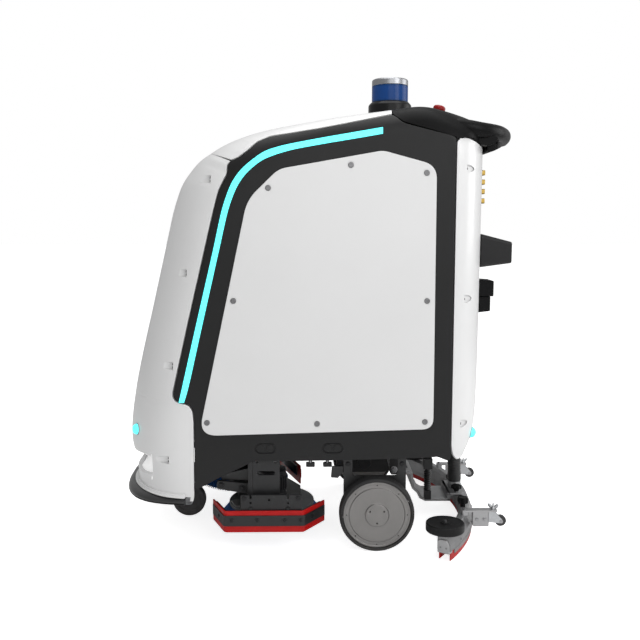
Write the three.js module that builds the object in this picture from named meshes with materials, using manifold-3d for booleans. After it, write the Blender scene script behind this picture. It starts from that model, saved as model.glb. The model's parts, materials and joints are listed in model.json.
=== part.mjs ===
// Autonomous floor scrubber: an upright housing on a steel chassis, with two hub-driven wheels,
// a front caster, a lifting disc-brush deck, a lifting curved squeegee, a push handle and a mast-less LiDAR.
// Millimetres. +X is the machine's left, -Y its front, +Z up. Stations along Y are measured from a datum
// plane DATUM_Y in front of the middle of the footprint; the whole group is shifted back at the end, so the
// origin is the middle of the footprint on the floor.
import * as THREE from 'three';
import { mergeVertices } from 'three/addons/utils/BufferGeometryUtils.js';
import Module from 'manifold-3d';

// ---------- driving dimensions (mm) ----------
const DATUM_Y = 35;          // footprint middle, measured from the station datum
const HALF_W = 310;          // housing half width
const WALL = 5;              // housing wall
const GAP = 0.35;            // joint gap between touching pieces
const SEAM = 0.6;            // visible seam between neighbouring covers (half on each side)
const WHEEL_Y = 198, WHEEL_R = 107, RIM_R = 96.6, TYRE_X0 = 262, TYRE_X1 = 310;
const CASTER_Y = -375.5, CASTER_R = 52.5, CASTER_TRAIL = 35, CASTER_HALF_W = 16;
const LIDAR_Y = 253, LIDAR_R = 54.5, LIDAR_RING_R = 65, LIDAR_RING_TOP = 1289, LIDAR_BLUE_TOP = 1337, LIDAR_TOP = 1357;
const BRUSH_R = 150, BRUSH_PLATE_R = 125, BRUSH_TOP = 116, BRUSH_BOTTOM = 60;
const BRUSH_L = [180, -105], BRUSH_R_POS = [-160, -215];
const DECK_Z = 119, DECK_T = 6;
const DECK_LIFT = [0, -160];            // lift rod
const SKIRT_Z0 = 69, SKIRT_Z1 = 131;
const SQ_ARC_R = 670, SQ_ARC_Y = -172, SQ_HALF_SPAN = 387, SQ_Z0 = 35, SQ_Z1 = 80;
const SQ_PIVOT = [270, 168];            // squeegee arm pivot (Y, Z)
const ROLLER_R = 53.5, ROLLER_POS = [360, 380], ROLLER_Z0 = 82, ROLLER_Z1 = 107;
const SUPPORT_X = 230, SUPPORT_WHEEL = [567, 62], SUPPORT_R = 16.5;
const FLOOR_PLATE_Z0 = 286, FLOOR_PLATE_Z1 = 294;
const HANDLE_R = 18;
const ESTOP_POS = [180, 372, 1237.5], ESTOP_TILT = -14 * Math.PI / 180;

// ---------- solids library ----------
const wasm = await Module();
wasm.setup();

function bare(geometry) {
  let g = geometry.clone();
  for (const name of Object.keys(g.attributes)) if (name !== 'position') g.deleteAttribute(name);
  g = mergeVertices(g, 1e-3);
  return g;
}
// makes the winding of neighbouring triangles agree across every shared edge
function windAlike(tri) {
  const edges = new Map(), n = tri.length / 3, seen = new Uint8Array(n);
  const key = (a, b) => a < b ? a + '_' + b : b + '_' + a;
  for (let t = 0; t < n; t++) for (let k = 0; k < 3; k++) {
    const e = key(tri[3 * t + k], tri[3 * t + (k + 1) % 3]);
    if (!edges.has(e)) edges.set(e, []);
    edges.get(e).push(t);
  }
  for (let s = 0; s < n; s++) {
    if (seen[s]) continue;
    seen[s] = 1;
    const queue = [s];
    while (queue.length) {
      const t = queue.pop();
      for (let k = 0; k < 3; k++) {
        const a = tri[3 * t + k], b = tri[3 * t + (k + 1) % 3];
        for (const u of edges.get(key(a, b))) {
          if (seen[u]) continue;
          seen[u] = 1;
          for (let j = 0; j < 3; j++) if (tri[3 * u + j] === a && tri[3 * u + (j + 1) % 3] === b) {
            [tri[3 * u + 1], tri[3 * u + 2]] = [tri[3 * u + 2], tri[3 * u + 1]];
            break;
          }
          queue.push(u);
        }
      }
    }
  }
}
function solid(geometry) {
  const g = bare(geometry);
  const p = g.attributes.position, idx = g.index.array;
  const tri = [];
  for (let i = 0; i < idx.length; i += 3) {
    if (idx[i] === idx[i + 1] || idx[i + 1] === idx[i + 2] || idx[i] === idx[i + 2]) continue;
    tri.push(idx[i], idx[i + 1], idx[i + 2]);
  }
  windAlike(tri);
  let volume = 0;
  const a = new THREE.Vector3(), b = new THREE.Vector3(), c = new THREE.Vector3();
  for (let i = 0; i < tri.length; i += 3) {
    a.fromBufferAttribute(p, tri[i]); b.fromBufferAttribute(p, tri[i + 1]); c.fromBufferAttribute(p, tri[i + 2]);
    volume += a.dot(b.clone().cross(c));
  }
  if (volume < 0) for (let i = 0; i < tri.length; i += 3) [tri[i + 1], tri[i + 2]] = [tri[i + 2], tri[i + 1]];
  return new wasm.Manifold(new wasm.Mesh({ numProp: 3, vertProperties: new Float32Array(p.array), triVerts: new Uint32Array(tri) }));
}
function toGeometry(m) {
  const mesh = m.getMesh();
  const g = new THREE.BufferGeometry();
  g.setAttribute('position', new THREE.BufferAttribute(new Float32Array(mesh.vertProperties), 3));
  g.setIndex(new THREE.BufferAttribute(new Uint32Array(mesh.triVerts), 1));
  g.computeVertexNormals();
  return g;
}
const join = (...s) => s.reduce((a, b) => a.add(b));
const cut = (a, ...s) => s.reduce((x, y) => x.subtract(y), a);

// ---------- primitive helpers (all return solids) ----------
function box(x0, x1, y0, y1, z0, z1) {
  const g = new THREE.BoxGeometry(x1 - x0, y1 - y0, z1 - z0);
  g.translate((x0 + x1) / 2, (y0 + y1) / 2, (z0 + z1) / 2);
  return solid(g);
}
function rodZ(r, z0, z1, x, y, n = 24) {
  const g = new THREE.CylinderGeometry(r, r, z1 - z0, n);
  g.rotateX(Math.PI / 2); g.translate(x, y, (z0 + z1) / 2);
  return solid(g);
}
function rodX(r, x0, x1, y, z, n = 24) {
  const g = new THREE.CylinderGeometry(r, r, x1 - x0, n);
  g.rotateZ(Math.PI / 2); g.translate((x0 + x1) / 2, y, z);
  return solid(g);
}
function rodY(r, y0, y1, x, z, n = 20) {
  const g = new THREE.CylinderGeometry(r, r, y1 - y0, n);
  g.translate(x, (y0 + y1) / 2, z);
  return solid(g);
}
// profile of [radius, height] pairs turned about +Z through (x, y)
function turnZ(profile, x, y, n = 32) {
  const g = new THREE.LatheGeometry(profile.map(([r, h]) => new THREE.Vector2(r, h)), n);
  g.rotateX(Math.PI / 2); g.translate(x, y, 0);
  return solid(g);
}
// profile of [radius, x] pairs turned about the X axis through (y, z)
function turnX(profile, y, z, n = 32) {
  const g = new THREE.LatheGeometry(profile.map(([r, h]) => new THREE.Vector2(r, h)), n);
  g.rotateZ(-Math.PI / 2); g.translate(0, y, z);
  return solid(g);
}
function shapeOf(points, holes = []) {
  const s = new THREE.Shape(points.map(([u, v]) => new THREE.Vector2(u, v)));
  for (const h of holes) s.holes.push(new THREE.Path(h.map(([u, v]) => new THREE.Vector2(u, v))));
  return s;
}
// outline in (Y, Z), extruded along X
function slabX(points, x0, x1, holes = []) {
  const g = new THREE.ExtrudeGeometry(shapeOf(points, holes), { depth: x1 - x0, bevelEnabled: false });
  g.applyMatrix4(new THREE.Matrix4().set(0, 0, 1, x0, 1, 0, 0, 0, 0, 1, 0, 0, 0, 0, 0, 1));
  return solid(g);
}
// outline in (X, Y), extruded along Z
function slabZ(points, z0, z1, holes = []) {
  const g = new THREE.ExtrudeGeometry(shapeOf(points, holes), { depth: z1 - z0, bevelEnabled: false });
  g.translate(0, 0, z0);
  return solid(g);
}
// closed section of [rho, z] pairs carried along a path of [x, y] points; rho grows to the right of travel
function sweep(section, path) {
  const n = path.length, m = section.length, pos = [], idx = [];
  for (let i = 0; i < n; i++) {
    const a = path[Math.max(i - 1, 0)], b = path[Math.min(i + 1, n - 1)];
    const p = path[i];
    let d1 = new THREE.Vector2(p[0] - a[0], p[1] - a[1]), d2 = new THREE.Vector2(b[0] - p[0], b[1] - p[1]);
    if (i === 0) d1 = d2.clone(); if (i === n - 1) d2 = d1.clone();
    d1.normalize(); d2.normalize();
    const t = d1.clone().add(d2).normalize();
    const k = 1 / Math.max(t.dot(d1), 0.5);
    const nx = t.y * k, ny = -t.x * k;
    for (const [rho, z] of section) pos.push(p[0] + nx * rho, p[1] + ny * rho, z);
  }
  for (let i = 0; i < n - 1; i++) for (let j = 0; j < m; j++) {
    const a = i * m + j, b = i * m + (j + 1) % m, c = a + m, d = b + m;
    idx.push(a, b, d, a, d, c);
  }
  const caps = THREE.ShapeUtils.triangulateShape(section.map(([u, v]) => new THREE.Vector2(u, v)), []);
  const ccw = THREE.ShapeUtils.area(section.map(([u, v]) => new THREE.Vector2(u, v))) > 0;
  for (const [a, b, c] of caps) {
    const o = (n - 1) * m;
    if (ccw) { idx.push(a, c, b); idx.push(o + a, o + b, o + c); }
    else { idx.push(a, b, c); idx.push(o + a, o + c, o + b); }
  }
  const g = new THREE.BufferGeometry();
  g.setAttribute('position', new THREE.Float32BufferAttribute(pos, 3)); g.setIndex(idx);
  return solid(g);
}
// round bar along a 3-D curve
function bar(points, r, sides = 12, steps = 32) {
  const curve = new THREE.CatmullRomCurve3(points.map(p => new THREE.Vector3(...p)), false, 'centripetal');
  const s = new THREE.Shape();
  for (let i = 0; i < sides; i++) {
    const a = i / sides * 2 * Math.PI;
    i ? s.lineTo(r * Math.cos(a), r * Math.sin(a)) : s.moveTo(r, 0);
  }
  s.closePath();
  return solid(new THREE.ExtrudeGeometry(s, { steps, extrudePath: curve, bevelEnabled: false }));
}
// six-faced block from its four rear and four front corners
function hexa(p) {
  const f = [[0, 1, 2], [0, 2, 3], [4, 6, 5], [4, 7, 6], [0, 4, 5], [0, 5, 1], [1, 5, 6], [1, 6, 2], [2, 6, 7], [2, 7, 3], [3, 7, 4], [3, 4, 0]];
  const g = new THREE.BufferGeometry();
  g.setAttribute('position', new THREE.Float32BufferAttribute(p.flat(), 3)); g.setIndex(f.flat());
  return solid(g);
}
// polygon corners rounded with radius r
function fillet(points, radii, steps = 4) {
  const out = [], n = points.length;
  points.forEach((p, i) => {
    const r = Array.isArray(radii) ? radii[i] : radii;
    if (!r) { out.push(p); return; }
    const a = points[(i + n - 1) % n], b = points[(i + 1) % n];
    const u = new THREE.Vector2(a[0] - p[0], a[1] - p[1]), v = new THREE.Vector2(b[0] - p[0], b[1] - p[1]);
    const lu = u.length(), lv = v.length(); u.normalize(); v.normalize();
    const half = Math.acos(THREE.MathUtils.clamp(u.dot(v), -1, 1)) / 2;
    const t = Math.min(r / Math.tan(half), lu * 0.49, lv * 0.49);
    for (let k = 0; k <= steps; k++) {
      const s = k / steps, x = (1 - s) * (1 - s), y = 2 * s * (1 - s), z = s * s;
      out.push([x * (p[0] + u.x * t) + y * p[0] + z * (p[0] + v.x * t), x * (p[1] + u.y * t) + y * p[1] + z * (p[1] + v.y * t)]);
    }
  });
  return out;
}

// ---------- housing surface ----------
// Each row: centre-line point P (y, z), side-plane point Q (y, z), width of the rounding RX.
// The surface runs from Q on the flat side to P on the centre line along a quarter ellipse.
const ROWS = [
  [-505, 138, -325, 146, 250], [-513, 150, -326, 156, 250], [-514, 165, -328, 166, 250],
  [-514, 185, -331, 186, 250], [-515, 200, -333, 200, 250], [-520, 230, -338, 230, 250], [-532, 299, -345, 295, 250], [-528, 361, -343, 358, 250],
  [-513, 454, -334, 449, 250], [-493, 546, -316, 540, 250], [-463, 668, -288, 661, 250],
  [-434, 789, -259, 782, 250], [-406, 907, -230, 900, 250], [-393, 961, -216, 950, 250], [-382, 995, -206, 984, 248],
  [-365, 1037, -190, 1018, 240], [-339, 1073, -168, 1050, 228], [-309, 1104, -146, 1077, 210], [-276, 1124, -122, 1096, 188],
  [-240, 1143, -98, 1108, 160], [-196, 1160, -76, 1116, 132], [-150, 1173, -50, 1123, 106], [-104, 1183, -25, 1128, 88],
  [-50, 1193, 5, 1133, 76], [0, 1201, 32, 1138, 68], [60, 1211, 75, 1146, 62], [130, 1221, 135, 1156, 60],
  [200, 1230, 200, 1166, 60], [237, 1235, 237, 1170, 60], [270, 1240, 270, 1174, 60], [302, 1244, 302, 1176, 62],
  [337, 1243, 330, 1172, 68], [370, 1237, 352, 1166, 80], [410, 1230, 372, 1158, 110], [460, 1220, 390, 1147, 165],
  [496, 1209, 399, 1136, 215], [511, 1199, 402, 1124, 245], [514, 1170, 403, 1105, 250], [514, 1100, 403, 1060, 250],
  [513, 880, 403, 880, 250], [512, 640, 403, 640, 250], [510, 440, 402, 440, 250], [505, 350, 401, 355, 250],
  [494, 300, 400, 312, 250], [478, 262, 397, 285, 250], [455, 225, 392, 250, 250], [420, 140, 380, 150, 240],
  [0, 132, 0, 140, 200], [-440, 132, -318, 140, 240],
];
const BOTTOM_ROWS = 3;
const THETA = [0, 26, 50, 71, 90].map(a => a * Math.PI / 180);
function housingSolid(offset) {          // offset > 0 grows outwards
  const rows = ROWS.map(([py, pz, qy, qz, rx], i) => {
    const d = new THREE.Vector2(qy - py, qz - pz).normalize();
    const low = i >= ROWS.length - BOTTOM_ROWS;
    let r = [py - d.x * offset, pz - d.y * offset, qy - d.x * offset, qz - d.y * offset, rx];
    if (offset < -1 && (low || i === 0)) { r = [py - d.x * offset, pz - 60, qy - d.x * offset, qz - 60, rx]; if (low) { r[0] = py; r[2] = qy; } }
    return r;
  });
  const w = HALF_W + offset, n = rows.length, rings = [];
  for (const th of THETA) rings.push(rows.map(([py, pz, qy, qz, rx]) => {
    const k = 1 - Math.sin(th);
    return [w - rx * (1 - Math.cos(th)), py + (qy - py) * k, pz + (qz - pz) * k];
  }));
  for (let k = THETA.length - 1; k >= 0; k--) rings.push(rings[k].map(([x, y, z]) => [-x, y, z]));
  const pos = rings.flat(2), idx = [];
  for (let i = 0; i < rings.length - 1; i++) for (let j = 0; j < n; j++) {
    const a = i * n + j, b = i * n + (j + 1) % n, c = a + n, d = b + n;
    if (i < rings.length / 2 - 1) idx.push(a, b, d, a, d, c); else idx.push(a, b, c, b, d, c);   // mirrored diagonals
  }
  const outline = rings[0].map(([, y, z]) => new THREE.Vector2(y, z));
  const caps = THREE.ShapeUtils.triangulateShape(outline, []);
  const ccw = THREE.ShapeUtils.area(outline) > 0, o = (rings.length - 1) * n;
  for (const [a, b, c] of caps) {
    if (ccw) { idx.push(a, b, c); idx.push(o + a, o + c, o + b); } else { idx.push(a, c, b); idx.push(o + a, o + b, o + c); }
  }
  const g = new THREE.BufferGeometry();
  g.setAttribute('position', new THREE.Float32BufferAttribute(pos, 3)); g.setIndex(idx);
  return solid(g);
}
const OUTER = housingSolid(0), INNER = housingSolid(-WALL), PROUD = housingSolid(GAP);
const SHELL = OUTER.subtract(INNER);

// seam lines in the side view (y, z)
const FRONT_SEAM = [[-205, 1096], [-214, 1084], [-213, 1062], [-237, 1017], [-252, 963], [-278, 856], [-331, 637], [-370, 469], [-371, 449],
  [-358, 433], [-336, 428], [-325, 412], [-319, 355], [-315, 211], [-313, 120]];
const LID_SEAM = [[-186, 1104], [-162, 1120], [-134, 1146], [-97, 1161], [-47, 1168], [38, 1181], [96, 1192], [204, 1214], [230, 1219]];
const CONSOLE_SEAM = [[248, 1207], [258, 1198], [330, 1178], [404, 1157]];
const REAR_TOP = [[404, 1147], [412, 1156], [425, 1159], [445, 1154], [470, 1146], [500, 1135], [530, 1124]];
const REAR_SIDE_Y = 403;
const SIDE_BOTTOM = [[392, 267], [364, 278], [252, 272], [-42, 267], [-154, 267], [-163, 260], [-249, 218], [-289, 197], [-313, 183]];
const REAR_BOTTOM = [[530, 262], [430, 263], [417, 272], [408, 290], [404, 312]];

const shift = (pts, dy, dz) => pts.map(([y, z]) => [y + dy, z + dz]);
const FAR = 700;
// regions are extruded right across the machine
const frontRegion = slabX([[-900, 60], ...shift([...FRONT_SEAM].reverse(), -SEAM / 2, 0), [-276 - SEAM / 2, 1123.5], [-330, 1200], [-900, 1200]], -FAR, FAR);
const lidRegion = slabX([[-276 + SEAM / 2, 1124.4], [-205 + SEAM / 2, 1097.4], ...shift(LID_SEAM, 0, SEAM / 2), [231.5, 1219.3], [231.5, 1400], [-276, 1400]], -FAR, FAR);
const sideRegion = slabX([...shift(FRONT_SEAM, SEAM / 2, 0).reverse().slice(1), [-204, 1097], ...shift(LID_SEAM, 0, -SEAM / 2), [232.4, 1219],
  ...shift(CONSOLE_SEAM, 0, -SEAM / 2), [REAR_SIDE_Y - SEAM / 2, 1156.5], [REAR_SIDE_Y - SEAM / 2, 272], ...SIDE_BOTTOM], -FAR, FAR);
const rearRegion = slabX([[REAR_SIDE_Y + SEAM / 2, 312], [REAR_SIDE_Y + SEAM / 2, 1145.5], ...shift(REAR_TOP, 0, -SEAM / 2), [700, 1124], [700, 262], ...REAR_BOTTOM.slice(0, 4)], -FAR, FAR);
const consoleRegion = slabX([[232.1, 1219.6], ...shift(CONSOLE_SEAM, 0, SEAM / 2), [404, 1149], ...shift(REAR_TOP, 0, SEAM / 2), [700, 1124.6], [700, 1400], [232.1, 1400]], -FAR, FAR);
const tonguePlan = [[-165, 240], [-100, 168], [100, 168], [165, 240]];
const tongueLid = slabZ(tonguePlan, 1100, 1400);
const tongueConsole = slabZ([[-164.3, 240], [-99.5, 168.7], [99.5, 168.7], [164.3, 240]], 1195, 1400);

// ---------- materials ----------
const mat = (name, color, roughness, metalness, extra = {}) => new THREE.MeshStandardMaterial({ name, color, roughness, metalness, ...extra });
const WHITE = () => mat('white_shell', 0xe9e9ea, 0.32, 0.0);
const PANEL = () => mat('panel', 0xd9d9da, 0.42, 0.0);
const BLACK = () => mat('black_shell', 0x2c2c2d, 0.38, 0.0);
const GLOSS = () => mat('console_black', 0x1d1d1e, 0.2, 0.0);
const CYAN = () => mat('light', 0x55ffff, 0.3, 0.0, { emissive: 0x30f4f4 });
const STEEL_BLACK = () => mat('black_steel', 0x1c1c1d, 0.5, 0.6);
const RUBBER = () => mat('rubber', 0x151516, 0.85, 0.0);
const ALU = () => mat('hub_metal', 0x84817d, 0.42, 0.85);
const GREY = () => mat('grey_metal', 0x8d8e8e, 0.4, 0.8);
const RED = () => mat('red_blade', 0xa61c1a, 0.5, 0.0);

const root = new THREE.Group();
root.name = 'floor_scrubber';
const machine = new THREE.Group();
machine.position.y = -DATUM_Y;
root.add(machine);
function add(name, manifold, material, place) {
  const mesh = new THREE.Mesh(toGeometry(manifold), material);
  mesh.name = name;
  if (place) { mesh.position.set(...place.position); mesh.rotation.x = place.rx || 0; }
  machine.add(mesh);
  return mesh;
}
const mirrorX = m => {                       // solid reflected to the other side
  const mesh = m.getMesh(), v = new Float32Array(mesh.vertProperties), t = new Uint32Array(mesh.triVerts);
  for (let i = 0; i < v.length; i += 3) v[i] = -v[i];
  for (let i = 0; i < t.length; i += 3) [t[i + 1], t[i + 2]] = [t[i + 2], t[i + 1]];
  return new wasm.Manifold(new wasm.Mesh({ numProp: 3, vertProperties: v, triVerts: t }));
};
function pair(name, left, material) {
  add(name + '_left', left, material());
  add(name + '_right', mirrorX(left), material());
}

// ---------- chassis frame ----------
const pivotLug = x => box(x - 4, x + 4, 256, 284, 152, FLOOR_PLATE_Z0 + 2);
const guideBlock = x => cut(box(x - 12, x + 12, -470, -440, 145, 162), rodY(5.6, -480, -430, x, 153, 16));
const frame = cut(join(
  box(-304.4, 304.4, -308, 385, FLOOR_PLATE_Z0, FLOOR_PLATE_Z1),
  box(-255, -225, 325, 355, FLOOR_PLATE_Z1 - 1, 1120), box(225, 255, 325, 355, FLOOR_PLATE_Z1 - 1, 1120),
  box(-255, -225, -150, -120, FLOOR_PLATE_Z1 - 1, 1040), box(225, 255, -150, -120, FLOOR_PLATE_Z1 - 1, 1040),
  box(-255, -225, -150, 355, 1030, 1050), box(225, 255, -150, 355, 1030, 1050),
  box(-230, 230, 330, 355, 1105, 1120),
  box(-90, 90, -312, -302, 136, FLOOR_PLATE_Z1), box(-90, 90, -472, -302, 136, 146),
  guideBlock(-60), guideBlock(60),
  pivotLug(-72), pivotLug(72), rodX(6, -74, 74, SQ_PIVOT[0], SQ_PIVOT[1], 16)),
  rodZ(10, 120, 150, 0, CASTER_Y - CASTER_TRAIL, 20),
  rodZ(20, 280, 300, DECK_LIFT[0], DECK_LIFT[1], 20));
add('base_frame', frame, STEEL_BLACK());

// ---------- housing covers ----------
const ledOuter = [[204.5, 1183], [135, 1171], [36, 1154], [-46, 1138.5], [-70, 1133], [-110, 1120], [-140, 1101], [-177, 1069], [-200, 1037], [-214, 1005], [-228, 963], [-253, 856], [-306, 638], [-346, 471], [-355, 437]];
const ledInner = [[-339, 437], [-329, 471], [-289, 638], [-237, 856], [-211, 963], [-198, 1000], [-184, 1030], [-162, 1060], [-124, 1092], [-97, 1105], [-46, 1121], [36, 1137], [135, 1153.5], [204.5, 1165.5]];
const ledPrism = g => slabX([...ledOuter, ...ledInner], HALF_W - 3.4 - g, HALF_W + 20);
const ledPocket = slabX([...ledOuter.map(([y, z], i) => [y + (i === 0 ? 0.5 : i < 6 ? 0 : -0.5), z + (i < 9 ? 0.5 : i === 14 ? -0.5 : 0)]),
  ...ledInner.map(([y, z], i) => [y + (i > 7 && i < 13 ? 0 : 0.5), z + (i === 0 ? -0.5 : -0.5)])], HALF_W - 3.8, HALF_W + 20);
const OUTER_LED = housingSolid(0.8);
const ledLeft = ledPrism(0).intersect(OUTER_LED);
const side = cut(SHELL.intersect(sideRegion), box(-FAR, 40, -FAR, FAR, 0, 1500), ledPocket);
pair('side_shell', side, BLACK);
pair('led_strip', ledLeft, CYAN);

const panelOutline = fillet([[-301, 341], [352, 358], [350, 1082], [205, 1121], [-75, 1072], [-160, 990]].map(p => p), [42, 32, 48, 60, 70, 120], 6);
const panel = slabX(panelOutline, HALF_W + GAP, HALF_W + 5);
pair('side_panel', panel, PANEL);

// a slot runs across the front for the low scanner; a liner closes it off, with a bay behind its middle
const slot = slabX([[-700, 196], [-505, 203], [-440, 217], [-440, 279], [-524, 264], [-700, 262]], -FAR, FAR);
const slotLiner = slabX([[-700, 191], [-505, 198], [-435, 211.5], [-435, 285], [-524, 269.2], [-700, 267]], -FAR, FAR);
const bay = box(-60, 60, -450, -395, 216, 262), bayLiner = box(-65, 65, -450, -390, 211, 267);
const front = cut(join(cut(SHELL.intersect(frontRegion), box(-FAR, FAR, -900, -331.5, 0, 164.5)), OUTER.intersect(join(slotLiner, bayLiner))), slot, bay);
add('front_cover', front, WHITE());
add('top_lid', cut(SHELL.intersect(lidRegion), tongueLid), WHITE());
// the rear cover is notched where the suction hose comes up into the body
add('rear_cover', cut(SHELL.intersect(rearRegion), box(-28.5, 28.5, 415, 540, 200, 308)), WHITE());

// console: shell plus the forward tongue under the sensor and the tray under the handle
const screenSlot = g => slabX([[424 - g, 1230.6 + 20], [502 + g, 1202.6 + 20], [502 + g, 1202.6 - 7 - g], [424 - g, 1230.6 - 7 - g]], -80 - g, 80 + g);
const tray = slabX([[505, 1124.8], [524, 1126], [565, 1142], [565, 1149], [505, 1149]], -205, 205);
const trayCut = slabX([[480, 1100], [509, 1100], [509, 1200], [480, 1200]], -FAR, FAR);
let consoleShell = join(SHELL.intersect(join(consoleRegion, tongueConsole)), cut(tray, trayCut, OUTER));
consoleShell = cut(consoleShell, screenSlot(0.4), rodZ(10.5, 1190, 1300, ESTOP_POS[0], ESTOP_POS[1], 24));

// handle: a round bar that leaves the console's sides, runs back and closes behind it
const handlePath = [[262, 398, 1192], [262, 440, 1187], [255, 490, 1182], [232, 540, 1179], [185, 577, 1179], [110, 596, 1181], [0, 600, 1182],
  [-110, 596, 1181], [-185, 577, 1179], [-232, 540, 1179], [-255, 490, 1182], [-262, 440, 1187], [-262, 398, 1192]];
const handleBar = bar(handlePath, HANDLE_R, 10, 30);
const handlePocket = bar(handlePath.map(([x, y, z], i) => (i === 0 || i === 12) ? [x, y - 4, z] : [x, y, z]), HANDLE_R + 0.6, 10, 30);
consoleShell = cut(consoleShell, handlePocket);
const pieces = consoleShell.decompose().sort((a, b) => b.volume() - a.volume());
add('console_housing', pieces[0], GLOSS());
add('handle', handleBar, GLOSS());
const screen = slabX([[424, 1230.6], [502, 1202.6], [502, 1202.6 - 7], [424, 1230.6 - 7]], -80, 80);
add('touch_screen', screen, mat('screen_glass', 0x0c0f14, 0.08, 0.0));

// ---------- LiDAR ----------
const ring = cut(turnZ([[0, 1215], [LIDAR_RING_R, 1215], [LIDAR_RING_R, LIDAR_RING_TOP - 10], [LIDAR_R + 3.5, LIDAR_RING_TOP], [0, LIDAR_RING_TOP]], 0, LIDAR_Y, 28), PROUD);
add('lidar_base', ring, mat('sensor_black', 0x202021, 0.35, 0.0));
add('lidar_window', turnZ([[LIDAR_R - 5, LIDAR_RING_TOP + GAP], [LIDAR_R, LIDAR_RING_TOP + GAP], [LIDAR_R, LIDAR_BLUE_TOP], [LIDAR_R - 5, LIDAR_BLUE_TOP], [LIDAR_R - 5, LIDAR_RING_TOP + GAP]], 0, LIDAR_Y, 28),
  mat('sensor_blue', 0x1f3f7a, 0.18, 0.1));
add('lidar_cap', turnZ([[0, LIDAR_BLUE_TOP + GAP], [LIDAR_R, LIDAR_BLUE_TOP + GAP], [LIDAR_R, LIDAR_TOP - 3], [LIDAR_R - 3, LIDAR_TOP], [0, LIDAR_TOP]], 0, LIDAR_Y, 28),
  mat('sensor_silver', 0xc9cacb, 0.3, 0.9));

// ---------- emergency stop: mushroom head on a stem, tilted with the console face ----------
add('estop_button', turnZ([[0, -14], [8, -14], [8, 5], [14, 5], [17.5, 8], [17.5, 14], [13, 19], [0, 20.5]], 0, 0, 20), mat('estop_red', 0xb01818, 0.4, 0.0),
  { position: ESTOP_POS, rx: ESTOP_TILT });

// ---------- scanner and lamps ----------
add('front_scanner', turnZ([[0, 217], [34, 217], [36, 220], [36, 247], [32, 250], [0, 250]], 0, -444, 28), mat('sensor_black2', 0x141416, 0.25, 0.0));
const lamp = (x, y, z) => { const g = new THREE.SphereGeometry(17, 16, 10); g.translate(x, y, z); return cut(solid(g), PROUD); };
add('front_lamp_left', lamp(200, -495, 336), CYAN());
add('front_lamp_right', lamp(-200, -495, 336), CYAN());
add('rear_lamp_left', lamp(200, 480, 322), CYAN());
add('rear_lamp_right', lamp(-200, 480, 322), CYAN());

// ---------- rear fittings ----------
const pad = z => box(-20, 20, 525, 547, z - 8, z + 8);
add('charging_contacts', join(box(-32, 32, 515, 530, 972, 1104), pad(1080), pad(1052), pad(1023.5), pad(995)), mat('contact_brass', 0xc9a84e, 0.3, 0.9));
add('dock_housing', hexa([[-122, 514.6, 797], [122, 514.6, 797], [122, 514.6, 897], [-122, 514.6, 897], [-92, 615, 808], [92, 615, 808], [92, 615, 872], [-92, 615, 872]]), mat('dock_black', 0x2b2b2c, 0.45, 0.0));
add('hose_port', join(box(-45, 45, 514.2, 574, 704, 756), box(-38, 38, 514.2, 566, 652, 706)), mat('port_black', 0x18181a, 0.5, 0.0));

// ---------- parts inside the housing ----------
add('battery_pack', box(-190, 190, -10, 300, FLOOR_PLATE_Z1 + GAP, 560), mat('battery', 0x35506b, 0.6, 0.0));
add('clean_water_tank', slabX(fillet([[-275, 470], [-40, 470], [-40, 1010], [-160, 1010], [-200, 900]], 20, 3), -205, 205), mat('tank_clear', 0xb9c4c9, 0.4, 0.0));
add('recovery_tank', slabX(fillet([[0, 590], [300, 590], [300, 1090], [0, 1060]], 20, 3), -205, 205), mat('tank_grey', 0x6f7a80, 0.45, 0.0));
add('vacuum_motor', turnZ([[0, FLOOR_PLATE_Z1 + GAP], [60, FLOOR_PLATE_Z1 + GAP], [60, 350], [74, 356], [74, 392], [50, 400], [0, 400]], 110, -230, 24), mat('motor_grey', 0x55585b, 0.4, 0.6));

// ---------- drive units ----------
const bracket = join(
  slabX([[105, 60], [286, 60], [286, FLOOR_PLATE_Z0 - GAP], [105, FLOOR_PLATE_Z0 - GAP]], 243, 249, [[[131, 205], [131, 270], [262, 270], [262, 205]].reverse()]),
  box(170, 244, 110, 281, 279, FLOOR_PLATE_Z0 - GAP), rodX(24, 200, 244, WHEEL_Y, WHEEL_R, 20), rodX(8, 248, 280, WHEEL_Y, WHEEL_R, 16));
pair('drive_bracket', bracket, STEEL_BLACK);
const hub = cut(turnX([[0, 251], [60, 251], [60, 264], [RIM_R, 264], [RIM_R, 303], [93, 306], [33, 306], [31, 309], [0, 309]], WHEEL_Y, WHEEL_R, 32),
  rodX(8.5, 240, 281, WHEEL_Y, WHEEL_R, 16));
pair('drive_hub', hub, ALU);
const tyre = turnX([[RIM_R + GAP, TYRE_X0], [WHEEL_R - 5, TYRE_X0], [WHEEL_R, TYRE_X0 + 7], [WHEEL_R, TYRE_X1 - 7], [WHEEL_R - 5, TYRE_X1], [RIM_R + GAP, TYRE_X1], [RIM_R + GAP, TYRE_X0]], WHEEL_Y, WHEEL_R, 32);
pair('drive_tyre', tyre, RUBBER);

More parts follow.
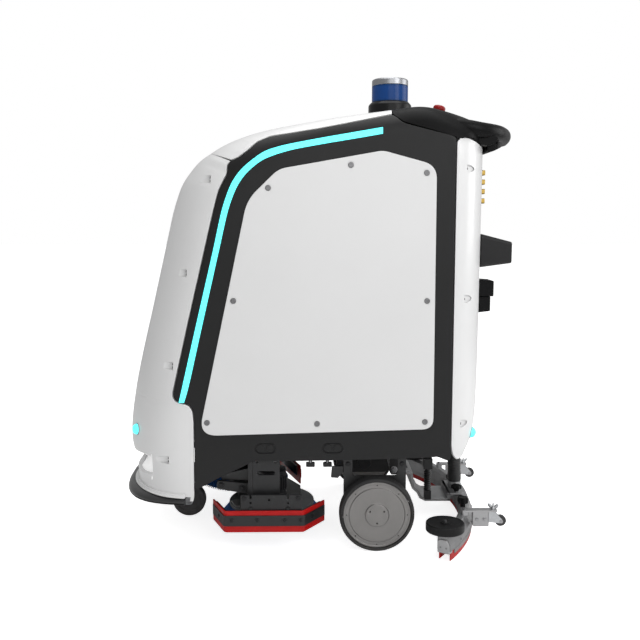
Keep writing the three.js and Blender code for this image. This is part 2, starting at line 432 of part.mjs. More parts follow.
// ---------- front caster ----------
const fy = CASTER_Y - CASTER_TRAIL;
const fork = cut(join(box(-27, 27, fy - 28, CASTER_Y + 8, 124, 130), rodZ(9.5, 129, 144, 0, fy, 20), rodZ(24, 129, 135.4, 0, fy, 24),
  slabX(fillet([[CASTER_Y - 14, 42], [CASTER_Y + 14, 42], [CASTER_Y + 8, 126], [fy - 20, 126]], [10, 10, 0, 0], 3), 19, 24),
  slabX(fillet([[CASTER_Y - 14, 42], [CASTER_Y + 14, 42], [CASTER_Y + 8, 126], [fy - 20, 126]], [10, 10, 0, 0], 3), -24, -19),
  rodX(5, -24, 24, CASTER_Y, CASTER_R, 16)));
add('caster_fork', fork, STEEL_BLACK());
add('caster_wheel', cut(turnX([[0, -CASTER_HALF_W], [48, -CASTER_HALF_W], [CASTER_R, -CASTER_HALF_W + 5], [CASTER_R, CASTER_HALF_W - 5], [48, CASTER_HALF_W], [0, CASTER_HALF_W]], CASTER_Y, CASTER_R, 28),
  rodX(5.5, -30, 30, CASTER_Y, CASTER_R, 16)), RUBBER());

// ---------- bumper ----------
const bumperPath = [[-312, -343], [-307, -390], [-297, -424], [-281, -457], [-253, -488], [-210, -516], [-155, -535], [-80, -545], [0, -548],
  [80, -545], [155, -535], [210, -516], [253, -488], [281, -457], [297, -424], [307, -390], [312, -343]];
const bumperSection = [[0, 146], [0, 156], [-3, 161], [-8, 163], [-33, 163], [-33, 141], [-8, 140], [-3, 142]];
add('front_bumper', join(sweep(bumperSection.map(([r, z]) => [r, z]), bumperPath), rodY(5, -520, -436, -60, 153, 16), rodY(5, -520, -436, 60, 153, 16)), mat('bumper_rubber', 0x3f4042, 0.6, 0.0));

// ---------- brush deck ----------
const deckPlan = [[-262, -300], [-60, -318], [60, -215], [292, -190], [292, -20], [90, -20], [-70, -108], [-262, -130]];
const deck = cut(join(slabZ(deckPlan, DECK_Z, DECK_Z + DECK_T), rodZ(8, DECK_Z + 2, 274, DECK_LIFT[0], DECK_LIFT[1], 20),
  box(290, 298, -153, -77, DECK_Z, 280), box(262, 292, -153, -77, DECK_Z + 2, DECK_Z + 14),
  box(-298, -290, -290, -214, DECK_Z, 215), box(-292, -255, -290, -214, DECK_Z + 2, DECK_Z + 14)),
  rodZ(16, 110, 124.9, BRUSH_L[0], BRUSH_L[1], 20), rodZ(16, 110, 124.9, BRUSH_R_POS[0], BRUSH_R_POS[1], 20));
add('brush_deck', deck, STEEL_BLACK());
add('deck_actuator', cut(rodZ(17, 196, 285, DECK_LIFT[0], DECK_LIFT[1], 24), rodZ(8.6, 190, 279, DECK_LIFT[0], DECK_LIFT[1], 20)), mat('actuator_black', 0x222223, 0.4, 0.3));
const motor = (x, y) => turnZ([[0, 125.4], [42, 125.4], [46, 130], [46, 196], [38, 208], [0, 212]], x, y, 20);
const brush = (x, y) => turnZ([[0, 123.6], [12, 123.6], [12, BRUSH_TOP], [BRUSH_PLATE_R, BRUSH_TOP], [BRUSH_PLATE_R, 104], [BRUSH_R, BRUSH_BOTTOM], [108, BRUSH_BOTTOM], [98, 98], [0, 98]], x, y, 28);
add('brush_motor_left', motor(...BRUSH_L), mat('motor_black', 0x1b1b1d, 0.35, 0.4));
add('brush_motor_right', motor(...BRUSH_R_POS), mat('motor_black_r', 0x1b1b1d, 0.35, 0.4));
add('brush_left', brush(...BRUSH_L), mat('bristle_blue', 0x1c4f8c, 0.75, 0.0));
add('brush_right', brush(...BRUSH_R_POS), mat('bristle_blue_r', 0x1c4f8c, 0.75, 0.0));
// splash skirts: red blades held by black brackets
const skirtL = [[229, -272], [330, -229.5], [330, -11], [241, 49]];
const skirtR = [[-93, -22], [-330, -105], [-330, -335], [-232, -380]];
const holdL = [[240, -262], [322, -226], [322, -14], [246, 37]];
const holdR = [[-100, -34], [-322, -111], [-322, -331], [-240, -368]];
const bladeSection = [[-2, SKIRT_Z0], [2, SKIRT_Z0], [2, SKIRT_Z1], [-2, SKIRT_Z1]];
add('skirt_blade_left', sweep(bladeSection, skirtL), RED());
add('skirt_blade_right', sweep(bladeSection, skirtR), RED());
const holdSection = [[-2, 96], [2, 96], [2, 129], [-2, 129]];
add('skirt_holder_left', join(sweep(holdSection, holdL), box(314, 324, -190, -14, 124, 168), box(298.4, 316, -153, -77, 132, 142)), STEEL_BLACK());
add('skirt_holder_right', join(sweep(holdSection, holdR), box(-324, -314, -322, -205, 124, 168), box(-316, -298.4, -290, -214, 132, 142)), STEEL_BLACK());

// ---------- squeegee ----------
const arcPath = (n, span, r) => Array.from({ length: n + 1 }, (_, i) => {
  const a = Math.asin(span / SQ_ARC_R) * (1 - 2 * i / n);
  return [r * Math.sin(a), SQ_ARC_Y + r * Math.cos(a)];
});
const sqPath = arcPath(16, SQ_HALF_SPAN, SQ_ARC_R);   // runs from +X to -X, so the right of travel is the rear
const sqSection = [[-20, SQ_Z0], [21, SQ_Z0], [19, 54], [8, SQ_Z1], [-12, SQ_Z1], [-20, 72]];
let sqBody = join(sweep(sqSection, sqPath), rodZ(15, 60, 107, 0, 472, 20),
  rodZ(5, 70, 100, ROLLER_POS[0], ROLLER_POS[1] + 2, 12), rodZ(5, 70, 100, -ROLLER_POS[0], ROLLER_POS[1] + 2, 12), rodZ(11, 70, 81.5, ROLLER_POS[0], ROLLER_POS[1] + 2, 12), rodZ(11, 70, 81.5, -ROLLER_POS[0], ROLLER_POS[1] + 2, 12));
add('squeegee_body', sqBody, GREY());
add('squeegee_blade_front', sweep([[-17, 8], [-13.5, 8], [-13.5, SQ_Z0 - GAP], [-17, SQ_Z0 - GAP]], arcPath(16, SQ_HALF_SPAN - 4, SQ_ARC_R)), RED());
add('squeegee_blade_rear', sweep([[15, 8], [18.5, 8], [18.5, SQ_Z0 - GAP], [15, SQ_Z0 - GAP]], arcPath(16, SQ_HALF_SPAN - 4, SQ_ARC_R)), RED());
const arm = cut(join(slabX([[262, 160], [270, 156], [322, 148], [328, 103], [343, 89], [352, 71], [370, 62], [450, 62], [450, 70], [373, 70], [359, 78], [349, 96], [336, 108], [330, 155], [274, 180], [264, 176], [258, 168]], -64, 64),
  box(-64, 64, 440, 450, 62, 88), box(-64, 64, 440, 492, 81, 88)), rodX(6.5, -80, 80, SQ_PIVOT[0], SQ_PIVOT[1], 16), rodZ(16, 60, 120, 0, 472, 20));
add('squeegee_arm', arm, mat('arm_grey', 0x77787a, 0.4, 0.7));
add('squeegee_actuator', join(box(92, 116, 356, 384, 180, 214), rodX(5, 60, 110, 370, 92, 12), rodZ(6, 88, 184, 104, 370, 16), box(94, 114, 360, 381, 84, 112)), mat('actuator_black2', 0x202021, 0.4, 0.3));
const roller = cut(rodZ(ROLLER_R, ROLLER_Z0, ROLLER_Z1, ROLLER_POS[0], ROLLER_POS[1] + 2, 28), rodZ(5.5, 80, 101, ROLLER_POS[0], ROLLER_POS[1] + 2, 12));
pair('squeegee_roller', roller, RUBBER);
const sx = SUPPORT_X, [wy, wz] = SUPPORT_WHEEL;
const supportBracket = join(box(sx - 12, sx + 12, 452, 556, 90, 96), box(sx - 12, sx + 12, 452, 470, 80.4, 91), box(sx - 9, sx + 9, 484, 532, 46, 91),
  slabX([[530, 60], [wy, wz - 6], [wy + 6, wz], [wy + 2, wz + 7], [548, 92], [530, 92]], sx - 11.5, sx - 8.5),
  slabX([[530, 60], [wy, wz - 6], [wy + 6, wz], [wy + 2, wz + 7], [548, 92], [530, 92]], sx + 8.5, sx + 11.5), rodX(3, sx - 11, sx + 11, wy, wz, 12));
pair('support_bracket', supportBracket, GREY);
pair('support_wheel', cut(rodX(SUPPORT_R, sx - 7, sx + 7, wy, wz, 24), rodX(3.4, sx - 9, sx + 9, wy, wz, 12)), () => mat('support_wheel', 0x9a9b9c, 0.6, 0.1));
const hosePath = [[0, 472, 109.5], [0, 471, 150], [0, 469, 200], [0, 466, 250], [0, 458, 300], [0, 444, 345], [0, 425, 400], [0, 410, 460], [0, 402, 540], [0, 385, 620], [0, 345, 655], [0, 308, 661]];
add('suction_hose', bar(hosePath, 20, 10, 24), mat('hose_black', 0x161617, 0.7, 0.0));

// ---------- brackets that tie the squeegee to the arm are plain; nothing else is hidden ----------
export default root;
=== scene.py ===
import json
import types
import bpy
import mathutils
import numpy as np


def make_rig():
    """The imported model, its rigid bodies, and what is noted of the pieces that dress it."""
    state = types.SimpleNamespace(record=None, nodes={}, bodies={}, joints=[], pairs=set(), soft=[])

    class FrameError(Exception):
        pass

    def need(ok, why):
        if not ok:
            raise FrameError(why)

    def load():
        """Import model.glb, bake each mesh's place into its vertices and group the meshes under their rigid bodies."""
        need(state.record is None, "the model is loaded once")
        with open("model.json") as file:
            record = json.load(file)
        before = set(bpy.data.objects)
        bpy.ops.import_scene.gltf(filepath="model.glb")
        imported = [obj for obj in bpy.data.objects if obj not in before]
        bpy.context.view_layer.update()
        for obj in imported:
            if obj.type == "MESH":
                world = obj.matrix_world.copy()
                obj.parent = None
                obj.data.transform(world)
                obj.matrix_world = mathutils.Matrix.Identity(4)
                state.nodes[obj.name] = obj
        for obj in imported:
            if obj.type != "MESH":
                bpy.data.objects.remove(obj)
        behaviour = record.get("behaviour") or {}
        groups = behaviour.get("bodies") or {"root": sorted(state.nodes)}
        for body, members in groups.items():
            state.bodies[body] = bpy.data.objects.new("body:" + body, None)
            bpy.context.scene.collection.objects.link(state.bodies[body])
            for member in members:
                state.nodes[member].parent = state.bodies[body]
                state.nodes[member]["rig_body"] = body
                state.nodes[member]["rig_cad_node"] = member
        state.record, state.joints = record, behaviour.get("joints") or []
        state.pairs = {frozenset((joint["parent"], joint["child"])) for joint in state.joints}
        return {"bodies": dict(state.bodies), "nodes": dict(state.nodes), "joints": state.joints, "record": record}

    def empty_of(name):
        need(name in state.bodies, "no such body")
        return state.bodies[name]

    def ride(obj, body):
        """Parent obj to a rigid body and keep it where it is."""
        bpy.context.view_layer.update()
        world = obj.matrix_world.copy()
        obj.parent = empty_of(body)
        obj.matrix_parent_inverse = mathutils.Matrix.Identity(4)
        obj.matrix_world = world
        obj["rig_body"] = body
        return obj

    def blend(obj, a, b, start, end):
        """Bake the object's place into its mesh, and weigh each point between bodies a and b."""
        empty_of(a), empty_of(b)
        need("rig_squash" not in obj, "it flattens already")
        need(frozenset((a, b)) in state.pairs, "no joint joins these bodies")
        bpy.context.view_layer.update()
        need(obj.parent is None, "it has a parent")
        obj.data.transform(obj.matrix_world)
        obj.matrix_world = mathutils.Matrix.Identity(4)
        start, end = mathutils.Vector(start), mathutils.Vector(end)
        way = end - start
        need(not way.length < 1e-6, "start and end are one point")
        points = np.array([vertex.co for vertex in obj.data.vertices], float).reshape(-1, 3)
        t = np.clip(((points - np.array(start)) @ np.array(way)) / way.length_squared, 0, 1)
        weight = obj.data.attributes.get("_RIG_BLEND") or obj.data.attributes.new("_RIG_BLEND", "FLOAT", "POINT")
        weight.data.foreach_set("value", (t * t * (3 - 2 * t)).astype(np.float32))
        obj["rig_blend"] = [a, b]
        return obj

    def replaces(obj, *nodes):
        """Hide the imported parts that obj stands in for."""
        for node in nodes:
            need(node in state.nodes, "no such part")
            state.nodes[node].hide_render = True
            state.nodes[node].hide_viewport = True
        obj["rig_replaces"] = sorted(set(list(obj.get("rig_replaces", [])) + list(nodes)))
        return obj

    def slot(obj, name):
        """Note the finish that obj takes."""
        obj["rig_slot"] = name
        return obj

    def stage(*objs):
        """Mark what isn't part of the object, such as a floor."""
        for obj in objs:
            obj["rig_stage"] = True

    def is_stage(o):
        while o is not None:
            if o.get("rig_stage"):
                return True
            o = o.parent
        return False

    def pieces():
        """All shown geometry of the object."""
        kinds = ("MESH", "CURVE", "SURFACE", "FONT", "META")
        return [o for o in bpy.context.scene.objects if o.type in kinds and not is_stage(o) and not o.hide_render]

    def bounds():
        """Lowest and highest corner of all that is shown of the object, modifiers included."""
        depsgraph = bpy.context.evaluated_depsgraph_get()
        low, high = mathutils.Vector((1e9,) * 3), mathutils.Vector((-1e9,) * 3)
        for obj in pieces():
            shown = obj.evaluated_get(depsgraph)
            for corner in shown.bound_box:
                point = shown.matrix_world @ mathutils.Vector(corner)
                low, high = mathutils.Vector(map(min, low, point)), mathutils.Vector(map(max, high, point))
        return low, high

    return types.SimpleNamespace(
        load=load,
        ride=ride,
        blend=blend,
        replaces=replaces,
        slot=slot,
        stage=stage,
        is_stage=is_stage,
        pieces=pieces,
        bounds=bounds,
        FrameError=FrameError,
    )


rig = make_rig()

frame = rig.load()
import bpy
import bmesh
import json
import math
import random
import numpy as np
from mathutils import Matrix, Vector

CAD_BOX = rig.bounds()
NODES = frame["nodes"]
random.seed(7)
rng = np.random.default_rng(7)
DATUM_Y = 35.0            # station datum used by the numbers below (mm)
MM = 0.001
W = 310.0                 # housing half width


def world(v):
    return (np.asarray(v, float) + [0, -DATUM_Y, 0]) * MM


# ------------------------------------------------------------------ camera
cam_data = bpy.data.cameras.new("camera")
cam_data.lens = 813.08 / 640 * 36
cam_data.sensor_width = 36
cam_data.clip_end = 200
cam = bpy.data.objects.new("camera", cam_data)
bpy.context.scene.collection.objects.link(cam)
pitch, yaw = math.radians(6.907), math.radians(0.9425)
fwd = Vector((-math.cos(pitch) * math.cos(yaw), math.cos(pitch) * math.sin(yaw), -math.sin(pitch)))
right = Vector((math.sin(yaw), math.cos(yaw), 0))
up = right.cross(fwd)
cam.matrix_world = Matrix(((right.x, up.x, -fwd.x, 2.5209), (right.y, up.y, -fwd.y, -0.035), (right.z, up.z, -fwd.z, 0.9326), (0, 0, 0, 1)))
bpy.context.scene.camera = cam


# ------------------------------------------------------------------ materials
class Nodes:
    """small helper that builds a Principled material out of procedural nodes"""

    def __init__(self, name, color, rough, metal=0.0, coat=0.0, coat_rough=0.1, spec=0.5):
        self.m = bpy.data.materials.new(name)
        self.m.use_nodes = True
        self.t = self.m.node_tree
        self.b = self.t.nodes["Principled BSDF"]
        self.b.inputs["Base Color"].default_value = (*color, 1)
        self.b.inputs["Roughness"].default_value = rough
        self.b.inputs["Metallic"].default_value = metal
        self.b.inputs["Coat Weight"].default_value = coat
        self.b.inputs["Coat Roughness"].default_value = coat_rough
        self.b.inputs["Specular IOR Level"].default_value = spec
        self.color, self.rough = color, rough
        self.tc = self.t.nodes.new("ShaderNodeTexCoord")
        self.normal = None

    def n(self, kind, **kw):
        x = self.t.nodes.new(kind)
        for k, v in kw.items():
            if k.startswith("_"):
                setattr(x, k[1:], v)
            else:
                x.inputs[k.replace("__", " ")].default_value = v
        return x

    def link(self, a, b):
        self.t.links.new(a, b)

    def coords(self, scale=(1, 1, 1), loc=(0, 0, 0), rot=(0, 0, 0)):
        mp = self.t.nodes.new("ShaderNodeMapping")
        mp.inputs["Scale"].default_value = scale
        mp.inputs["Location"].default_value = loc
        mp.inputs["Rotation"].default_value = rot
        self.link(self.tc.outputs["Object"], mp.inputs["Vector"])
        return mp.outputs["Vector"]

    def noise(self, scale, detail=4, rough=0.55, vec=None, stretch=(1, 1, 1), distortion=0.0):
        x = self.n("ShaderNodeTexNoise")
        x.inputs["Scale"].default_value = scale
        x.inputs["Detail"].default_value = detail
        x.inputs["Roughness"].default_value = rough
        x.inputs["Distortion"].default_value = distortion
        self.link(vec or self.coords(stretch), x.inputs["Vector"])
        return x.outputs["Fac"]

    def ramp(self, fac, a, b, lo=0.0, hi=1.0):
        r = self.n("ShaderNodeMapRange")
        r.inputs["From Min"].default_value = a
        r.inputs["From Max"].default_value = b
        r.inputs["To Min"].default_value = lo
        r.inputs["To Max"].default_value = hi
        self.link(fac, r.inputs["Value"])
        return r.outputs["Result"]

    def mix(self, fac, a, b, kind="MIX"):
        x = self.n("ShaderNodeMix", _data_type="RGBA", _blend_type=kind)
        for s, v in ((6, a), (7, b)):
            if isinstance(v, (tuple, list)):
                x.inputs[s].default_value = (*v, 1)
            else:
                self.link(v, x.inputs[s])
        if isinstance(fac, float):
            x.inputs[0].default_value = fac
        else:
            self.link(fac, x.inputs[0])
        return x.outputs[2]

    def math(self, op, a, b=None):
        x = self.n("ShaderNodeMath", _operation=op)
        for i, v in enumerate((a, b)):
            if v is None:
                continue
            if isinstance(v, (int, float)):
                x.inputs[i].default_value = v
            else:
                self.link(v, x.inputs[i])
        return x.outputs[0]

    def tint(self, scale=6.0, amount=0.06, stretch=(1, 1, 1), detail=5):
        """slow light and dark variation of the base colour"""
        f = self.noise(scale, detail, 0.6, stretch=stretch)
        dark = tuple(c * (1 - amount) for c in self.color)
        light = tuple(min(1, c * (1 + amount * 0.6)) for c in self.color)
        self.col = self.mix(self.ramp(f, 0.3, 0.7), dark, light)
        self.link(self.col, self.b.inputs["Base Color"])
        return self

    def over(self, fac, color):
        src = getattr(self, "col", None)
        self.col = self.mix(fac, src if src is not None else self.color, color)
        self.link(self.col, self.b.inputs["Base Color"])
        return self

    def smudge(self, scale=9.0, amount=0.08, detail=6, stretch=(1, 1, 1)):
        f = self.noise(scale, detail, 0.65, stretch=stretch)
        self.link(self.ramp(f, 0.25, 0.75, max(0.02, self.rough - amount), min(1, self.rough + amount)), self.b.inputs["Roughness"])
        return self

    def bump(self, height, distance, strength=1.0):
        x = self.n("ShaderNodeBump")
        x.inputs["Strength"].default_value = strength
        x.inputs["Distance"].default_value = distance
        self.link(height, x.inputs["Height"])
        if self.normal is not None:
            self.link(self.normal, x.inputs["Normal"])
        self.normal = x.outputs["Normal"]
        self.link(self.normal, self.b.inputs["Normal"])
        return self

    def soft_edges(self, radius):
        x = self.n("ShaderNodeBevel", _samples=4)
        x.inputs["Radius"].default_value = radius
        if self.normal is not None:
            self.link(self.normal, x.inputs["Normal"])
        self.normal = x.outputs["Normal"]
        self.link(self.normal, self.b.inputs["Normal"])
        return self

    def low_dust(self, color=(0.33, 0.31, 0.28), top=0.30, amount=0.25):
        """fine dust that gathers towards the floor, broken up by noise"""
        sep = self.n("ShaderNodeSeparateXYZ")
        self.link(self.tc.outputs["Object"], sep.inputs[0])
        h = self.ramp(sep.outputs["Z"], top, 0.0)
        f = self.math("MULTIPLY", self.math("MULTIPLY", h, self.ramp(self.noise(26, 6, 0.7), 0.35, 0.75)), amount)
        return self.over(f, color)

    def radius_about(self, y, z, x=None):
        """distance from an axis: along X through (y, z), or along Z through (x, y) when x is given"""
        sep = self.n("ShaderNodeSeparateXYZ")
        self.link(self.tc.outputs["Object"], sep.inputs[0])
        if x is None:
            a = self.math("SUBTRACT", sep.outputs["Y"], y)
            b = self.math("SUBTRACT", sep.outputs["Z"], z)
        else:
            a = self.math("SUBTRACT", sep.outputs["X"], x)
            b = self.math("SUBTRACT", sep.outputs["Y"], y)
        return self.math("SQRT", self.math("ADD", self.math("MULTIPLY", a, a), self.math("MULTIPLY", b, b)))


def plastic(name, color, rough, grain=1400, depth=0.00004, coat=0.0, tint=0.04, smudge=0.06, dust=None, spec=0.5):
    k = Nodes(name, color, rough, 0, coat, 0.12, spec)
    k.tint(3.5, tint)
    if dust:
        k.low_dust(**dust)
    k.smudge(7, smudge)
    k.bump(k.noise(grain, 2, 0.5), depth)
    k.bump(k.noise(9, 2, 0.5), 0.0006, 0.12)
    return k


def metal(name, color, rough, grain=(1, 1, 1), scale=600, depth=0.00003, metallic=1.0, tint=0.08, smudge=0.1):
    k = Nodes(name, color, rough, metallic)
    k.tint(18, tint)
    k.smudge(25, smudge)
    k.bump(k.noise(scale, 3, 0.6, stretch=grain), depth)
    return k


M = {}
M["white"] = plastic("cover_white", (0.715, 0.715, 0.715), 0.30, 700, 0.00002, coat=0.2, tint=0.012, smudge=0.008).m
# slot liner plastic with painted light: a faint emission brightens the shaded slot floor, though the liner is no lamp
k = plastic("liner_white_painted_glow", (0.90, 0.90, 0.90), 0.5, 700, 0.00002, tint=0.01)
k.b.inputs["Emission Color"].default_value = (1, 1, 1, 1)
k.b.inputs["Emission Strength"].default_value = 0.22
M["liner"] = k.m
M["panel"] = plastic("panel_light", (0.69, 0.69, 0.69), 0.36, 1100, 0.00003, coat=0.1, tint=0.015, smudge=0.05).m
M["black"] = plastic("shell_black", (0.0095, 0.0095, 0.0098), 0.42, 1600, 0.00005, tint=0.12, smudge=0.07, spec=0.28).m
M["console"] = plastic("console_black", (0.006, 0.006, 0.0062), 0.42, 1500, 0.00002, tint=0.1, smudge=0.06, spec=0.07).m
M["grip"] = plastic("grip_black", (0.006, 0.006, 0.0062), 0.38, 900, 0.00008, tint=0.15, smudge=0.08, spec=0.08).m
M["dock"] = plastic("dock_black", (0.013, 0.013, 0.0135), 0.45, 1300, 0.00008, tint=0.12, smudge=0.06, spec=0.25).m
M["port"] = plastic("port_black", (0.004, 0.004, 0.0045), 0.5, 1100, 0.00006, tint=0.15, spec=0.12).m
M["dark"] = plastic("recess_dark", (0.012, 0.012, 0.013), 0.6, 900, 0.00005, tint=0.15).m
M["grey_plastic"] = plastic("insert_grey", (0.26, 0.26, 0.27), 0.45, 900, 0.00005, tint=0.08).m
M["red_knob"] = plastic("stop_red", (0.25, 0.006, 0.006), 0.34, 1100, 0.00003, coat=0.04, tint=0.08, spec=0.18).m
M["tank"] = plastic("tank_milky", (0.50, 0.55, 0.58), 0.5, 500, 0.0001, tint=0.08).m
M["battery"] = plastic("battery_case", (0.05, 0.07, 0.10), 0.55, 900, 0.0001, tint=0.15).m
M["roller"] = plastic("roller_black", (0.007, 0.007, 0.0073), 0.5, 700, 0.00012, tint=0.18, smudge=0.1, spec=0.2).m
M["screen_bezel"] = plastic("screen_bezel", (0.008, 0.008, 0.0085), 0.3, 1500, 0.00002, tint=0.1, spec=0.2).m

k = Nodes("bumper_rubber", (0.022, 0.022, 0.023), 0.34, coat=0.35, coat_rough=0.3)
k.tint(12, 0.2).smudge(14, 0.08)
k.bump(k.noise(750, 3, 0.6), 0.00012)
M["bumper"] = k.m

k = Nodes("tyre_rubber", (0.011, 0.011, 0.0115), 0.72)
k.tint(30, 0.3).low_dust((0.11, 0.10, 0.09), 0.22, 0.55).smudge(30, 0.12)
k.bump(k.noise(900, 4, 0.7), 0.0002)
k.bump(k.noise(70, 3, 0.6), 0.0004, 0.4)
M["tyre"] = k.m

k = Nodes("caster_tread", (0.045, 0.045, 0.046), 0.6)
k.tint(30, 0.25).low_dust((0.14, 0.13, 0.12), 0.12, 0.5).smudge(30, 0.12)
k.bump(k.noise(700, 4, 0.7), 0.0002)
M["caster"] = k.m

k = Nodes("red_polyurethane", (0.43, 0.006, 0.006), 0.36)
k.tint(15, 0.16)
k.over(k.math("MULTIPLY", k.ramp(k.noise(60, 6, 0.7, stretch=(1, 1, 6)), 0.62, 0.8), 0.35), (0.12, 0.02, 0.018))
k.smudge(40, 0.14)
k.b.inputs["Subsurface Weight"].default_value = 0.08
k.b.inputs["Subsurface Radius"].default_value = (0.004, 0.001, 0.001)
k.bump(k.noise(500, 3, 0.6), 0.00008)
k.b.inputs["Specular IOR Level"].default_value = 0.22
M["red"] = k.m

M["powder"] = metal("black_powder_coat", (0.016, 0.016, 0.0165), 0.42, scale=900, depth=0.00012, metallic=0.0, tint=0.2).soft_edges(0.0012).m
M["clamp"] = metal("dark_anodised", (0.014, 0.014, 0.015), 0.42, grain=(1, 0.06, 1), scale=700, metallic=0.15, tint=0.12).m
M["motor"] = metal("motor_black", (0.02, 0.02, 0.022), 0.38, scale=500, depth=0.0001, metallic=0.2, tint=0.15).soft_edges(0.0012).m
# two tones of the same cast metal: the first, darker copy is painted shade (the squeegee body sits in shadow); the
# second, lighter copy is a painted lit tone for the same metal where it catches bright light
M["cast"] = metal("cast_shaded_copy", (0.24, 0.24, 0.243), 0.42, scale=420, depth=0.00016, metallic=0.75, tint=0.12, smudge=0.12).m
M["cast_lit_copy"] = metal("cast_lit_copy", (0.40, 0.40, 0.405), 0.42, scale=380, depth=0.00018, metallic=0.8, tint=0.1, smudge=0.12).m
M["bolt"] = metal("bolt_steel", (0.36, 0.36, 0.37), 0.32, scale=900, metallic=1.0).m
M["bolt_dark"] = metal("bolt_black_oxide", (0.03, 0.03, 0.031), 0.4, scale=900, metallic=0.8).m
M["screw"] = metal("panel_screw", (0.22, 0.22, 0.225), 0.36, scale=900, metallic=0.9).m

k = metal("zinc_plate", (0.50, 0.51, 0.52), 0.34, scale=500, tint=0.1)
v = k.n("ShaderNodeTexVoronoi")
v.inputs["Scale"].default_value = 160
k.link(k.coords(), v.inputs["Vector"])
k.over(k.ramp(v.outputs["Distance"], 0.0, 0.9, 0.0, 0.35), (0.36, 0.37, 0.39))
M["zinc"] = k.m

# spun face of the wheel covers: fine rings about the axle
k = Nodes("spun_aluminium", (0.235, 0.228, 0.222), 0.40, 0.85)
r = k.radius_about(0.163, 0.107)
rn = k.n("ShaderNodeTexNoise", _noise_dimensions="1D")
rn.inputs["Scale"].default_value = 900
rn.inputs["Detail"].default_value = 3
k.link(r, rn.inputs["W"])
k.tint(14, 0.07)
k.link(k.ramp(rn.outputs["Fac"], 0.3, 0.7, 0.32, 0.46), k.b.inputs["Roughness"])
k.bump(rn.outputs["Fac"], 0.00006, 0.8)
M["spun"] = k.m

k = Nodes("brushed_cap", (0.36, 0.365, 0.38), 0.36, 1.0)
r = k.radius_about(0.218, 0, x=0.0)
k.tint(20, 0.05)
k.bump(k.noise(240, 3, 0.6, stretch=(0.05, 0.05, 12)), 0.00003)
M["cap"] = k.m

# tinted sensor window: deep blue shell with a darker optical band inside
k = Nodes("sensor_blue", (0.006, 0.040, 0.142), 0.25, 0.0, 0.08, 0.12, 0.14)
sep = k.n("ShaderNodeSeparateXYZ")
k.link(k.tc.outputs["Object"], sep.inputs[0])
band = k.math("MULTIPLY", k.ramp(sep.outputs["Z"], 1.291, 1.296), k.ramp(sep.outputs["Z"], 1.335, 1.330))
k.tint(10, 0.05)
k.over(k.math("MULTIPLY", band, 0.35), (0.014, 0.075, 0.33))
k.smudge(12, 0.04)
k.bump(k.noise(300, 2, 0.5), 0.00001)
M["blue_window"] = k.m

k = Nodes("scanner_black", (0.006, 0.006, 0.008), 0.1, 0.0, 1.0, 0.04, 0.6)
k.tint(10, 0.1).smudge(14, 0.04)
k.bump(k.noise(300, 2, 0.5), 0.00001)
M["scanner"] = k.m

# light strip: a frosted diffuser whose glow colour varies a little with noise
k = Nodes("light_strip", (0.10, 0.75, 0.80), 0.35)
k.tint(20, 0.03)
e = k.mix(k.ramp(k.noise(35, 2, 0.5), 0.3, 0.7), (0.10, 0.98, 0.99), (0.135, 1.0, 1.0))
k.link(e, k.b.inputs["Emission Color"])
k.b.inputs["Emission Strength"].default_value = 0.92
k.bump(k.noise(1200, 2, 0.5), 0.00003)
M["led"] = k.m

k = Nodes("contact_gold", (0.55, 0.37, 0.10), 0.3, 1.0)
k.tint(40, 0.12).smudge(60, 0.1)
k.bump(k.noise(900, 3, 0.6, stretch=(1, 1, 0.08)), 0.00003)
M["gold"] = k.m

k = Nodes("blue_bristle", (0.012, 0.085, 0.30), 0.5)
k.tint(60, 0.35)
k.link(k.ramp(k.noise(300, 4, 0.6, stretch=(1, 1, 0.1)), 0.3, 0.7, 0.35, 0.65), k.b.inputs["Roughness"])
k.bump(k.noise(900, 3, 0.6, stretch=(1, 1, 0.1)), 0.0002)
M["bristle"] = k.m

k = Nodes("brush_plate", (0.10, 0.105, 0.11), 0.42)
k.tint(16, 0.12).smudge(20, 0.1)
k.bump(k.noise(500, 3, 0.6), 0.0001)
M["plate"] = k.m

k = Nodes("hose_rubber", (0.012, 0.012, 0.0125), 0.4)
k.tint(22, 0.2).smudge(20, 0.1)
sep = k.n("ShaderNodeSeparateXYZ")
k.link(k.tc.outputs["Object"], sep.inputs[0])
wave = k.math("SINE", k.math("MULTIPLY", sep.outputs["Z"], 900.0))
k.bump(wave, 0.0001, 0.3)
k.bump(k.noise(800, 3, 0.6), 0.00006)
M["hose"] = k.m

k = Nodes("screen_glass", (0.006, 0.008, 0.012), 0.06, 0.0, 1.0, 0.03)
k.tint(4, 0.2).smudge(30, 0.03)
k.bump(k.noise(200, 2, 0.5), 0.000004)
M["glass"] = k.m


